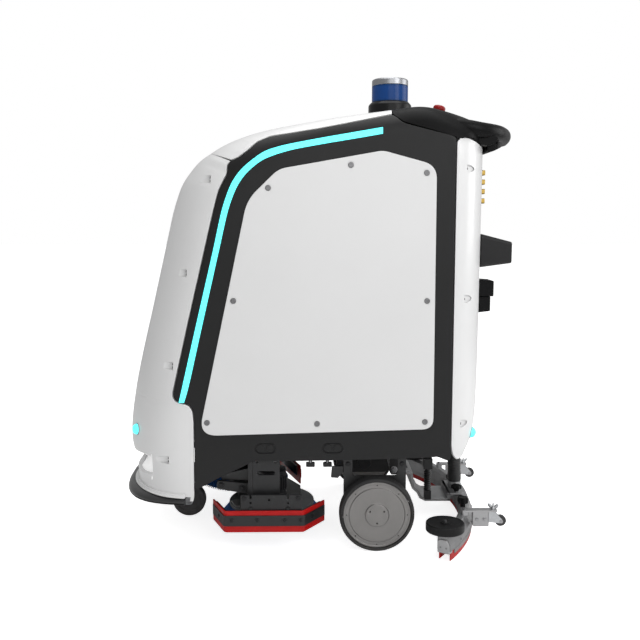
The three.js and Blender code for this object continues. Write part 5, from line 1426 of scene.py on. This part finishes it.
# ------------------------------------------------------------------ brush deck
deck_plan = [[-261.8, -299.8], [-60, -317.8], [60, -214.8], [291.8, -189.8], [291.8, -20.2], [90, -20.2], [-70, -107.8], [-261.8, -129.8]]
make("deck_plate", slab(deck_plan, 119.2, 124.9, 12), "deck", "powder", slot="deck_metal", replaces="brush_deck", bevel=0.8)
make("deck_rod", lathe([(0, 124), (8, 124), (8, 273.8), (0, 273.8)], (0, -160, 0), "Z", 40), "deck", "bolt", slot="deck_metal", bevel=0.4)
make("deck_rod_collar", lathe([(8.1, 125), (18, 125), (18, 131), (13, 134), (13, 146), (8.1, 146), (8.1, 125)], (0, -160, 0), "Z", 40), "deck", "cast", slot="deck_metal", bevel=0.5)
side_pl = make("deck_side_plate_left", prism(fillet([[-152.8, 119.2], [-77.2, 119.2], [-77.2, 279.8], [-152.8, 279.8]], [3, 3, 8, 8], 5), 290.2, 297.8), "deck", "clamp", slot="deck_metal", bevel=0.8)
carve(side_pl, prism(np.array(round_rect(-140, -90, 223, 235, 5.5, 5)), 280, 310), *[lathe([(0, 280), (4.5, 280), (4.5, 310), (0, 310)], (0, y, z), "X", 24) for y, z in ((-140, 262), (-90, 262))])
make("deck_side_flange_left", boxy(284, 297.8, -166.5, -153, 158, 262), "deck", "clamp", slot="deck_metal", bevel=0.9)
make("deck_link_lower_left", prism(fillet([[-258, 198], [-156, 187], [-156, 155], [-258, 174]], [9, 3, 3, 9], 5), 254, 266), "deck", "clamp", slot="deck_metal", bevel=1.0)
make("deck_link_upper_left", prism(fillet([[-246, 211], [-168, 229], [-156, 214], [-168, 193], [-246, 194]], [8, 5, 5, 5, 8], 5), 238, 250), "deck", "powder", slot="deck_metal", bevel=1.0)
make("deck_link_block_left", boxy(240, 284, -170, -150, 150, 196), "deck", "clamp", slot="deck_metal", bevel=1.5)
make("deck_link_bolts_left", joined(*[turned_to(hex_bolt(6.5, 5), (266, y, z), (1, 0, 0)) for y, z in ((-245, 185.5), (-186, 176))]), "deck", "bolt_dark", slot="deck_metal", sharp=30)
make("deck_side_foot_left", slab([[262.2, -152.8], [291.8, -152.8], [291.8, -77.2], [262.2, -77.2]], 124.9, 132.8, 2), "deck", "clamp", slot="deck_metal", bevel=0.7)
rp = make("deck_side_plate_right", prism(fillet([[-289.8, 119.2], [-214.2, 119.2], [-214.2, 214.8], [-289.8, 214.8]], [3, 3, 10, 10], 5), -297.8, -290.2), "deck", "clamp", slot="deck_metal", bevel=0.8)
make("deck_side_foot_right", slab([[-291.8, -289.8], [-255.2, -289.8], [-255.2, -214.2], [-291.8, -214.2]], 124.9, 132.8, 2), "deck", "clamp", slot="deck_metal", bevel=0.7)
make("deck_lift_tube", lathe([(8.6, 196.2), (15.4, 196.2), (16.6, 197.4), (16.6, 206), (15.6, 207), (15.6, 280), (16.8, 281), (16.8, 285), (8.6, 285), (8.6, 196.2)], (0, -160, 0), "Z", 48), "chassis", "clamp", slot="actuator_metal", replaces="deck_actuator", bevel=0.4)
for nm, x, y, sgn in (("left", 180, -105, 1), ("right", -160, -215, -1)):
    mot = [(0, 125.6), (41, 125.6), (45.6, 128), (45.6, 136), (43, 138), (41.8, 140), (41.8, 196), (43.6, 198), (43.6, 205), (41, 208.4), (20, 210.8), (14, 211.8), (0, 211.8)]
    make("brush_motor_case_" + nm, lathe(mot, (x, y, 0), "Z", 80), "deck", "motor", slot="motor_black", replaces="brush_motor_" + nm, bevel=0.6, sharp=32)
    fins = []
    for i in range(24):
        a = 2 * math.pi * i / 24
        c, s = math.cos(a), math.sin(a)
        bx = boxy(-0.9, 0.9, 41, 44.4, 148, 188)
        V = np.array(bx[0])
        V = np.column_stack([V[:, 0] * c - V[:, 1] * s + x, V[:, 0] * s + V[:, 1] * c + y, V[:, 2]])
        fins.append((V, bx[1]))
    make("brush_motor_fins_" + nm, joined(*fins), "deck", "motor", slot="motor_black", sharp=30)
    bb = "scrub_brush_" + nm
    disc_b = [(0, 123.4), (12, 123.4), (12, 115.8), (118, 115.8), (123, 115), (125, 112.8), (125, 105.5), (123, 103.6), (108, 103), (98, 98.2), (0, 98.2)]
    make("brush_plate_" + nm, lathe(disc_b, (x, y, 0), "Z", 128), bb, "plate", slot="brush_blue", replaces="brush_" + nm, bevel=0.5, sharp=30)
    # rows of bristle tufts flaring out to the rim
    V, F = [], []
    for r0, r1, cnt in ((100, 111, 96), (108, 125, 104), (116, 138, 112), (122.5, 149, 120)):
        for i in range(cnt):
            a = 2 * math.pi * (i + 0.5 * (cnt // 8 % 2)) / cnt + rng.normal(0, 0.004)
            for q in range(2):
                aa = a + (q - 0.5) * 0.012
                rr0, rr1 = r0 + (q - 0.5) * 3, r1 + (q - 0.5) * 4 + rng.normal(0, 0.8)
                rr1 = min(rr1, 149.5)
                base = len(V)
                for (rr, z, w) in ((rr0, 103.6, 1.1), ((rr0 + rr1) / 2 + 1.5, 86, 1.5), (rr1, 72.0, 1.9)):
                    for k2 in range(4):
                        b = math.pi / 2 * k2
                        rad, tan = rr + w * math.cos(b), w * math.sin(b)
                        V.append((x + rad * math.cos(aa) - tan * math.sin(aa), y + rad * math.sin(aa) + tan * math.cos(aa), z))
                for s in range(2):
                    for k2 in range(4):
                        p0, p1 = base + s * 4 + k2, base + s * 4 + (k2 + 1) % 4
                        F.append([p0, p1, p1 + 4, p0 + 4])
                F.append([base + 8, base + 9, base + 10, base + 11])
    make("bristle_core_" + nm, lathe([(102, 103.4), (121, 103.4), (130, 94), (145, 74.5), (112, 74.5), (106, 90), (102, 103.4)], (x, y, 0), "Z", 160), bb, "bristle", slot="brush_blue", sharp=40)
    make("bristles_" + nm, (np.array(V), F), bb, "bristle", slot="brush_blue", sharp=50)
# grey guard plate beside the left brush
gp = fillet([[206, -224], [252, -206], [264, -176], [262, -160], [230, -160], [190, -206]], 6, 4)
make("brush_guard", prism(gp, 112.5, 118.6, "Z"), "deck", "cast_lit_copy", slot="deck_metal", bevel=0.8)

# ------------------------------------------------------------------ skirts: blade, clamp bar, brackets
def offset_strip(path, half, z0, z1, shift=0.0, n=None):
    p = np.asarray(path, float)
    sec = [(shift - half, z0), (shift + half, z0), (shift + half, z1), (shift - half, z1)]
    return sweep(sec, p)


skL = fillet([[229, -272], [330, -229.5], [330, -11], [241, 49]], [0, 12, 12, 0], 7, closed=False)
skR = fillet([[-93, -22], [-330, -105], [-330, -335], [-232, -380]], [0, 12, 12, 0], 7, closed=False)
hoL = fillet([[240, -262], [322, -226], [322, -14], [246, 37]], [0, 10, 10, 0], 7, closed=False)
hoR = fillet([[-100, -34], [-322, -111], [-322, -331], [-240, -368]], [0, 10, 10, 0], 7, closed=False)
make("skirt_left", sweep([(-2, 69.3), (1.6, 69.3), (2, 70.2), (2, 130.4), (1.6, 130.9), (-2, 130.9)], skL), "deck", "red", slot="blade_red", replaces="skirt_blade_left", bevel=0.3)
make("skirt_right", sweep([(-2, 69.3), (1.6, 69.3), (2, 70.2), (2, 130.4), (1.6, 130.9), (-2, 130.9)], skR), "deck", "red", slot="blade_red", replaces="skirt_blade_right", bevel=0.3)
make("skirt_clamp_left", sweep([(-2, 96.2), (1.95, 96.2), (1.95, 128.9), (-2, 128.9)], hoL), "deck", "clamp", slot="holder_metal", replaces="skirt_holder_left", bevel=0.5)
make("skirt_clamp_right", sweep([(-2, 96.2), (1.95, 96.2), (1.95, 128.9), (-2, 128.9)], hoR), "deck", "clamp", slot="holder_metal", replaces="skirt_holder_right", bevel=0.5)
outL = fillet([[234, -273.1], [333.6, -232], [333.6, -9], [246, 50.0]], [0, 13, 13, 0], 7, closed=False)
outR = fillet([[-96, -19.6], [-333.6, -102.5], [-333.6, -337.5], [-236, -382.0]], [0, 13, 13, 0], 7, closed=False)
make("skirt_strip_left", sweep([(-1.4, 88), (0.8, 88), (1.3, 88.6), (1.3, 117.6), (0.8, 118.2), (-1.4, 118.2)], outL), "deck", "clamp", slot="holder_metal", bevel=0.4)
make("skirt_strip_right", sweep([(-1.4, 88), (0.8, 88), (1.3, 88.6), (1.3, 117.6), (0.8, 118.2), (-1.4, 118.2)], outR), "deck", "clamp", slot="holder_metal", bevel=0.4)
scr = []
for y in (-211, -140, -63, 2 - 20):
    scr.append(turned_to(socket_screw(5.2, 3.0), (334.8, y, 105), (1, 0, 0), y))
for p, d in (((291, -249.6, 104), (0.38, -0.92, 0)), ((301, 13.8, 104), (0.56, 0.83, 0))):
    scr.append(turned_to(socket_screw(5.2, 3.0), p, d))
make("skirt_screws_left", joined(*scr), "deck", "bolt_dark", slot="holder_metal", sharp=30)
scr = [turned_to(socket_screw(5.2, 3.0), (-334.8, y, 105), (-1, 0, 0), y) for y in (-315, -240, -170, -118)]
scr += [turned_to(socket_screw(5.2, 3.0), p, d) for p, d in (((-180, -47, 104), (0.33, 0.94, 0)), ((-260, -75, 104), (0.33, 0.94, 0)), ((-292, -357.5, 104), (-0.42, -0.9, 0)))]
make("skirt_screws_right", joined(*scr), "deck", "bolt_dark", slot="holder_metal", sharp=30)
hang = [[-189.8, 124.2], [-120, 124.2], [-92, 124.2], [-14.2, 124.2], [-14.2, 132], [-60, 138], [-77, 148], [-77, 167.8], [-153, 167.8], [-153, 150], [-176, 140], [-189.8, 132]]
hang = [[-186, 120], [-15, 120], [-15, 173.5], [-50.4, 173.5], [-50.4, 163], [-56.4, 163], [-56.4, 173.5], [-155, 173.5], [-155, 163], [-161, 163], [-161, 173.5], [-186, 173.5]]
hb = make("skirt_hanger_left", prism(fillet(hang, [2, 2, 2, 1, 2.5, 2.5, 1, 1, 2.5, 2.5, 1, 2], 4), 316.2, 323.8), "deck", "clamp", slot="holder_metal", bevel=0.9)
carve(hb, *[lathe([(0, 305), (3.4, 305), (3.4, 330), (0, 330)], (0, y, z), "X", 24) for y, z in ((-158, 151), (-53.4, 151), (-106, 160))])
make("skirt_hanger_arm_left", boxy(297.9, 316.4, -152.8, -77.2, 132.2, 141.8), "deck", "clamp", slot="holder_metal", bevel=0.8)
make("skirt_hanger_bolts_left", joined(*[turned_to(hex_bolt(5.4, 4.2), (323.8, y, z), (1, 0, 0)) for y, z in ((-158, 135), (-53.4, 135), (-176, 165), (-25, 165))]), "deck", "bolt_dark", slot="holder_metal", sharp=30)
hang = [[-321.8, 124.2], [-205.2, 124.2], [-205.2, 134], [-214, 150], [-214, 167.8], [-290, 167.8], [-290, 150], [-321.8, 134]]
make("skirt_hanger_right", prism(fillet(hang, [2, 2, 6, 12, 6, 6, 12, 6], 5), -323.8, -316.2), "deck", "clamp", slot="holder_metal", bevel=0.9)
make("skirt_hanger_arm_right", boxy(-316.4, -297.9, -289.8, -214.2, 132.2, 141.8), "deck", "clamp", slot="holder_metal", bevel=0.8)
make("skirt_hanger_bolts_right", joined(*[turned_to(hex_bolt(5.4, 4.2), (-323.8, y, z), (-1, 0, 0)) for y, z in ((-275, 158), (-229, 158))]), "deck", "bolt", slot="holder_metal", sharp=30)

# ------------------------------------------------------------------ squeegee
R_SQ, Y_SQ = 670.0, -172.0


def arc_path(half, r=R_SQ, n=73):
    a = math.asin(half / R_SQ)
    # runs from +X to -X so that positive rho points to the rear
    t = np.linspace(-a, a, n)
    return np.column_stack([R_SQ * np.sin(t), Y_SQ + R_SQ * np.cos(t)])


pathS = arc_path(386.8)[::-1]
body_sec = fillet([(-19.8, 35.2), (20.8, 35.2), (18.8, 54), (7.8, 79.8), (-11.8, 79.8), (-19.8, 72)], [3, 3, 8, 4, 5, 5], 4)
# the casting takes the darker painted-shade copy of the cast metal, and the rail above it takes the lighter painted lit
# copy
make("squeegee_casting", sweep([tuple(p) for p in body_sec], pathS), "squeegee", "cast", slot="squeegee_grey", replaces="squeegee_body", bevel=0, sharp=32)
make("squeegee_top_rail", sweep([(-10.5, 79.0), (6.5, 79.0), (6.5, 82.2), (5.5, 83), (-9.5, 83), (-10.5, 82.2)], arc_path(352)[::-1]), "squeegee", "cast_lit_copy", slot="squeegee_grey", bevel=0.5)
# end caps: cast blocks with two screws each
for sgn in (1, -1):
    s = "left" if sgn > 0 else "right"
    a = math.asin(386.8 / R_SQ) * sgn
    ex, ey = R_SQ * math.sin(a), Y_SQ + R_SQ * math.cos(a)
    t = np.array([math.cos(a), -math.sin(a)]) * sgn      # outward along the bar
    nrm = np.array([math.sin(a), math.cos(a)])
    ring = np.array(fillet([(-19.4, 27.5), (18.8, 27.5), (17.4, 52), (9, 67.5), (-13, 67.5), (-19.4, 60)], [4, 4, 7, 5, 6, 6], 4))
    rings = []
    for off, sc_ in ((-16, 1.0), (-1, 1.0), (1.6, 0.96), (2.6, 0.9)):
        c = np.array([0, 47.5])
        rr = c + (ring - c) * sc_
        rings.append(np.column_stack([ex + t[0] * off + nrm[0] * rr[:, 0], ey + t[1] * off + nrm[1] * rr[:, 0], rr[:, 1]]))
    make("squeegee_end_cap_" + s, rings_loft(rings), "squeegee", "cast_lit_copy", slot="squeegee_grey", bevel=0.5)
    heads = []
    for rho in (-9, 8):
        p = (ex + t[0] * 2.4 + nrm[0] * rho, ey + t[1] * 2.4 + nrm[1] * rho, 44)
        heads.append(turned_to(socket_screw(2.8, 0.6), p, (t[0], t[1], 0)))
    make("squeegee_cap_screws_" + s, joined(*heads), "squeegee", "cast", slot="squeegee_grey", sharp=30)
    # roller post and boss
    make("roller_boss_" + s, lathe([(0, 70.2), (13, 70.2), (13, 73), (11, 75.5), (11, 81.3), (0, 81.3)], (sgn * 360, 382, 0), "Z", 48), "squeegee", "cast_lit_copy", slot="squeegee_grey", bevel=0.5)
    make("roller_post_" + s, lathe([(0, 81), (4.9, 81), (4.9, 113), (0, 113)], (sgn * 360, 382, 0), "Z", 32), "squeegee", "bolt", slot="squeegee_grey", bevel=0.3)
make("squeegee_inlet", lathe([(13, 61), (16.4, 61), (16.4, 100), (17.6, 101), (17.6, 105), (16.6, 106.8), (13, 106.8), (13, 61)], (0, 472, 0), "Z", 56), "squeegee", "cast_lit_copy", slot="squeegee_grey", bevel=0.4)


def blade_sec(lo, hi):
    return [(lo, 8.3), (hi - 0.5, 8.3), (hi, 9.0), (hi, 34.4), (lo, 34.4)]


make("blade_front", sweep(blade_sec(-16.9, -13.6), arc_path(382.8)[::-1]), "squeegee", "red", slot="squeegee_rubber", replaces="squeegee_blade_front", bevel=0.3)
make("blade_rear", sweep(blade_sec(15.1, 18.4), arc_path(382.8)[::-1]), "squeegee", "red", slot="squeegee_rubber", replaces="squeegee_blade_rear", bevel=0.3)
make("blade_strip_front", sweep([(-19.6, 24), (-17.2, 24), (-17.2, 36), (-19.6, 36)], arc_path(366)[::-1]), "squeegee", "cast", slot="squeegee_grey", bevel=0.4)
make("blade_strip_rear", sweep([(18.7, 24), (21.0, 24), (21.0, 36.4), (18.7, 36.4)], arc_path(366)[::-1]), "squeegee", "cast", slot="squeegee_grey", bevel=0.4)
nuts = []
for t in np.linspace(-0.5, 0.5, 6):
    p = (R_SQ * math.sin(t), Y_SQ + R_SQ * math.cos(t))
    nuts.append(turned_to(hex_bolt(4.4, 3.2), (p[0] + math.sin(t) * 19.5, p[1] + math.cos(t) * 19.5, 47), (math.sin(t), math.cos(t), 0.1)))
make("squeegee_rear_bolts", joined(*nuts), "squeegee", "bolt", slot="squeegee_grey", sharp=30)
# rear rollers at the ends
for sgn in (1, -1):
    s = "left" if sgn > 0 else "right"
    pr = [(5.4, 82.6), (20, 82.6), (49.5, 82.4), (51.8, 83.2), (53.2, 85.2), (53.4, 87), (53.4, 103), (53.0, 105), (51.6, 106.4), (49.6, 106.8), (46.5, 106.4), (44, 105.6), (20, 105.4), (5.4, 105.4), (5.4, 82.6)]
    make("edge_roller_" + s, lathe(pr, (sgn * 360, 382, 0), "Z", 112), "roller_" + s, "roller", slot="roller_grey", replaces="squeegee_roller_" + s, bevel=0.3, sharp=32)
    make("edge_roller_cap_" + s, lathe([(0, 105.6), (12.5, 105.6), (12.5, 107.2), (11.6, 108), (6, 108.4), (0, 108.4)], (sgn * 360, 382, 0), "Z", 48), "squeegee", "roller", slot="squeegee_grey", sharp=30)
# arm plate
armY = fillet([[262, 160], [270, 156.2], [322, 148.2], [328, 103.2], [343, 89.2], [352, 71.2], [370, 62.2], [449.8, 62.2], [449.8, 69.8], [373, 69.8], [359, 77.8], [349, 95.8], [336, 107.8], [330, 154.8], [274, 179.8], [264, 175.8], [258, 168]],
              [3, 3, 6, 5, 5, 6, 8, 2, 2, 6, 5, 5, 5, 5, 5, 4, 4], 4)
arm = make("squeegee_arm_plate", prism(armY, -63.8, 63.8), "squeegee", "cast_lit_copy", slot="squeegee_grey", replaces="squeegee_arm", bevel=0.9)
carve(arm, lathe([(0, -80), (6.4, -80), (6.4, 80), (0, 80)], (0, 270, 168), "X", 32), boxy(-38, 38, 284, 318, 130, 200))
hol = make("squeegee_arm_foot", prism(fillet([[-63.8, 440.2], [63.8, 440.2], [63.8, 491.8], [-63.8, 491.8]], [3, 3, 12, 12], 5), 81.3, 87.8, "Z"), "squeegee", "cast_lit_copy", slot="squeegee_grey", bevel=0.8)
carve(hol, lathe([(0, 60), (17.0, 60), (17.0, 120), (0, 120)], (0, 472, 0), "Z", 48))
make("squeegee_arm_web", boxy(-63.8, 63.8, 440.2, 449.8, 62.2, 87.8), "squeegee", "cast_lit_copy", slot="squeegee_grey", bevel=0.9)
# locking knobs on studs on the arm foot, and lock knobs on stems beside the bar
for i, x in enumerate((-50, 50)):
    make("arm_stud_%d" % (i + 1), lathe([(0, 82), (4, 82), (4, 100), (0, 100)], (x, 470, 0), "Z", 24), "squeegee", "bolt", slot="squeegee_grey")
    make("arm_knob_%d" % (i + 1), turned_to(knob(15, 20), (x, 470, 90), (0, 0, 1), 0.3 * i), "squeegee", "grip", slot="squeegee_grey", sharp=34)
for nm, x, y, z0, r, h in (("near", 200, 445.5, 82.8, 15.2, 40), ("far", -100, 447, 83, 15.5, 42)):
    ang = math.asin(max(-1, min(1, x / R_SQ)))
    yy = Y_SQ + R_SQ * math.cos(ang)
    make("lock_stem_" + nm, lathe([(0, 78), (5, 78), (5, z0 + 18), (0, z0 + 18)], (x, yy - 6, 0), "Z", 24), "squeegee", "bolt", slot="squeegee_grey")
    make("lock_knob_" + nm, turned_to(knob(r, h - 10), (x, yy - 6, z0 + 10), (0, 0, 1)), "squeegee", "grip", slot="squeegee_grey", sharp=34)
# lift strut
make("lift_clevis", joined(boxy(92.2, 115.8, 356.2, 383.8, 180.2, 213.8)), "squeegee", "clamp", slot="actuator_metal", replaces="squeegee_actuator", bevel=1.6, seg=3)
make("lift_cross_rod", lathe([(0, 60), (4.8, 60), (4.8, 110), (0, 110)], (0, 370, 92), "X", 24), "squeegee", "bolt", slot="actuator_metal")
make("lift_rod", lathe([(0, 100), (5.9, 100), (5.9, 181), (0, 181)], (104, 370, 0), "Z", 40), "squeegee", "bolt", slot="actuator_metal")
make("lift_bellows", lathe([(6, 112.2)] + [(9.0 + 2.6 * (i % 2), 112.6 + i * 3.4) for i in range(19)] + [(6, 178.6), (6, 112.2)], (104, 370, 0), "Z", 48), "squeegee", "hose", slot="actuator_metal", sharp=60)
make("lift_foot", boxy(94.2, 113.8, 360.2, 380.8, 84.2, 112.2), "squeegee", "clamp", slot="actuator_metal", bevel=1.2)
# support casters behind the bar
for sgn in (1, -1):
    s = "left" if sgn > 0 else "right"
    sx = 230

    def m(vf):
        return vf if sgn > 0 else mirrored(vf)
    make("support_plate_" + s, m(prism(fillet([[sx - 11.8, 452.2], [sx + 11.8, 452.2], [sx + 11.8, 555.8], [sx - 11.8, 555.8]], 4, 4), 90.2, 95.8, "Z")), "squeegee", "cast_lit_copy", slot="bracket_light", replaces="support_bracket_" + s, bevel=0.7)
    make("support_spacer_" + s, m(prism(np.array(round_rect(sx - 11.8, sx + 11.8, 452.4, 469.8, 3, 4)), 80.4, 90.4, "Z")), "squeegee", "cast_lit_copy", slot="bracket_light", bevel=0.6)
    drop = make("support_block_" + s, m(prism(fillet([[484.2, 46.2], [531.8, 46.2], [531.8, 90.4], [484.2, 90.4]], [6, 3, 2, 2], 4), sx - 8.8, sx + 8.8)), "squeegee", "cast_lit_copy", slot="bracket_light", bevel=0.8)
    ch = fillet([[530, 60], [567, 56], [572.8, 62], [568.8, 69], [548, 91.8], [530, 91.8]], [2, 8, 8, 8, 6, 2], 4)
    make("support_fork_" + s, m(joined(prism(ch, sx - 11.4, sx - 8.6), prism(ch, sx + 8.6, sx + 11.4))), "squeegee", "zinc", slot="bracket_light", bevel=0.5)
    make("support_block_bolts_" + s, m(joined(*[turned_to(hex_bolt(4.6, 3.2), (sx + 8.8, y, 68), (1, 0, 0)) for y in (496, 518)])), "squeegee", "bolt", slot="bracket_light", sharp=30)
    make("support_axle_" + s, m(joined(turned_to(hex_bolt(4.2, 2.4), (sx + 11.4, 567, 62), (1, 0, 0)), turned_to(hex_bolt(4.2, 2.4), (sx - 11.4, 567, 62), (-1, 0, 0)))), "squeegee", "bolt", slot="bracket_light", sharp=30)
    make("support_wing_nut_" + s, m(turned_to(wing_nut(1.0), (sx, 545, 95.8), (0, 0, 1), 1.2)), "squeegee", "zinc", slot="bracket_light", sharp=40)
    make("support_nut_" + s, m(turned_to(hex_bolt(5, 4), (sx, 461, 95.8), (0, 0, 1))), "squeegee", "bolt", slot="bracket_light", sharp=30)
    whl = [(3.4, -6.8), (6.5, -6.8), (7, -5.4), (12, -5.0), (13, -6.2), (15, -6.6), (16.1, -5.4), (16.4, -3.5), (16.4, 3.5), (16.1, 5.4), (15, 6.6), (13, 6.2), (12, 5.0), (7, 5.4), (6.5, 6.8), (3.4, 6.8), (3.4, -6.8)]
    make("support_tyre_" + s, m(lathe(whl, (sx, 567, 62), "X", 64)), "rear_wheel_" + s, "caster", slot="support_grey", replaces="support_wheel_" + s, bevel=0.3, sharp=34)

# ------------------------------------------------------------------ suction hose
hpth = catmull([[0, 472, 109.5], [0, 471, 150], [0, 469, 200], [0, 466, 250], [0, 458, 300], [0, 444, 345], [0, 425, 400], [0, 410, 460], [0, 402, 540], [0, 385, 620], [0, 345, 655], [0, 308, 661]], 26)
hr = resample(hpth, 330)
dist = np.r_[0, np.cumsum(np.linalg.norm(np.diff(hr, axis=0), axis=1))]
rad = 20.6 + 0.35 * np.sin(dist * 2 * math.pi / 9.0)
rad[dist < 26] = 21.4
rad[dist < 2] = 20.6
hose = make("hose_tube", tube(hr, rad, 32, up_axis=(1, 0, 0)), None, "hose", slot="hose_black", replaces="suction_hose", bevel=0, sharp=60)

make("hose_cuff", lathe([(12, 82), (20, 82), (20.6, 83), (20.6, 92), (22.2, 93), (22.2, 99), (20.6, 100), (20.6, 108.6), (12, 108.6), (12, 82)], (0, 472, 0), "Z", 64), "squeegee", "cast_lit_copy", slot="hose_black", bevel=0.4)

# ------------------------------------------------------------------ inside: battery, tanks, vacuum motor
make("battery_case", prism(np.array(round_rect(-9.8, 299.8, 294.6, 559.8, 12, 5)), -189.8, 189.8), "chassis", "battery", slot="battery_case", replaces="battery_pack", bevel=3, seg=3)
make("battery_lid_band", prism(np.array(round_rect(-9.2, 299.2, 500, 508, 3, 3)), -190, 190), "chassis", "dark", slot="battery_case", bevel=0.8)
ct = fillet([[-274.8, 470.2], [-40.2, 470.2], [-40.2, 1009.8], [-160, 1009.8], [-199.8, 900]], [16, 16, 16, 20, 40], 6)
make("clean_tank_shell", prism(ct, -204.8, 204.8), "chassis", "tank", slot="tank_plastic", replaces="clean_water_tank", bevel=4, seg=3)
rt = fillet([[0.2, 590.2], [299.8, 590.2], [299.8, 1089.8], [0.2, 1059.8]], [16, 16, 16, 16], 6)
rec = make("recovery_tank_shell", prism(rt, -204.8, 204.8), "chassis", "tank", slot="tank_plastic", replaces="recovery_tank", bevel=4, seg=3)
make("vacuum_case", lathe([(0, 294.6), (60, 294.6), (60, 300), (72, 302), (74, 306), (74, 332), (72, 336), (61, 340), (60, 344), (60, 388), (58, 394), (50, 399), (30, 399.8), (0, 399.8)], (110, -230, 0), "Z", 72), "chassis", "motor", slot="motor_black", replaces="vacuum_motor", bevel=0.8)

# ------------------------------------------------------------------ shading normals, light, stage
for ob in PIECES:
    me = ob.data
    try:
        me.set_sharp_from_angle(angle=math.radians(ob["sharp"]))
    except Exception:
        pass
    wn = ob.modifiers.new("normals", "WEIGHTED_NORMAL")
    wn.keep_sharp = True
    wn.weight = 80
    del ob["weight"]
    del ob["sharp"]
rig.blend(hose, "squeegee", "chassis", (0, 0.437, 0.14), (0, 0.437, 0.46))

scene = bpy.context.scene
scene.view_settings.view_transform = "Standard"
scene.view_settings.look = "None"

world_ = bpy.data.worlds.new("studio")
scene.world = world_
world_.use_nodes = True
nt = world_.node_tree
nt.nodes.clear()
out = nt.nodes.new("ShaderNodeOutputWorld")
lp = nt.nodes.new("ShaderNodeLightPath")
bg_cam = nt.nodes.new("ShaderNodeBackground")
bg_cam.inputs["Color"].default_value = (1, 1, 1, 1)
bg_cam.inputs["Strength"].default_value = 1.0
bg_light = nt.nodes.new("ShaderNodeBackground")
bg_light.inputs["Color"].default_value = (1, 1, 1, 1)
bg_light.inputs["Strength"].default_value = 0.44
mix = nt.nodes.new("ShaderNodeMixShader")
nt.links.new(lp.outputs["Is Camera Ray"], mix.inputs["Fac"])
nt.links.new(bg_light.outputs[0], mix.inputs[1])
nt.links.new(bg_cam.outputs[0], mix.inputs[2])
nt.links.new(mix.outputs[0], out.inputs["Surface"])


def softbox(name, loc, at, size, power, color=(1, 1, 1), size_y=None):
    d = bpy.data.lights.new(name, "AREA")
    d.shape = "RECTANGLE"
    d.size = size
    d.size_y = size_y or size
    d.energy = power
    d.color = color
    o = bpy.data.objects.new(name, d)
    o.location = loc
    o.rotation_euler = (Vector(at) - Vector(loc)).to_track_quat("-Z", "Y").to_euler()
    scene.collection.objects.link(o)
    o.visible_camera = False
    return o


softbox("key", (2.6, 2.4, 2.3), (0, 0.1, 0.75), 1.6, 40, (1, 1, 1), 2.0)
softbox("top", (0.3, 0.2, 3.4), (0, 0, 0.6), 2.6, 60)
softbox("side", (3.6, 0.4, 1.7), (0, 0.1, 0.75), 2.0, 20)
softbox("rear_wall", (-0.4, 3.2, 1.6), (0, 0.2, 0.8), 1.8, 24)

# pale studio floor; towards the view it is lifted to the same white as the backdrop, keeping a trace of shade
floor_m = Nodes("floor", (0.90, 0.90, 0.90), 0.8, spec=0.1)
floor_m.tint(1.5, 0.004)
floor_m.bump(floor_m.noise(60, 3, 0.5), 0.0002)
ft = floor_m.t
flp = ft.nodes.new("ShaderNodeLightPath")
fem = ft.nodes.new("ShaderNodeMath")
fem.operation = "MULTIPLY"
fem.inputs[1].default_value = 0.80
ft.links.new(flp.outputs["Is Camera Ray"], fem.inputs[0])
floor_m.b.inputs["Emission Color"].default_value = (1, 1, 1, 1)
ft.links.new(fem.outputs[0], floor_m.b.inputs["Emission Strength"])
bpy.ops.mesh.primitive_plane_add(size=60, location=(0, 0, -0.0006))
floor_ob = bpy.context.object
floor_ob.name = "floor"
floor_ob.data.materials.append(floor_m.m)
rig.stage(floor_ob)

with open("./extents.json", "w") as fh:
    json.dump({"cad": [list(map(float, v)) for v in CAD_BOX], "visual": [list(map(float, v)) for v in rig.bounds()]}, fh)
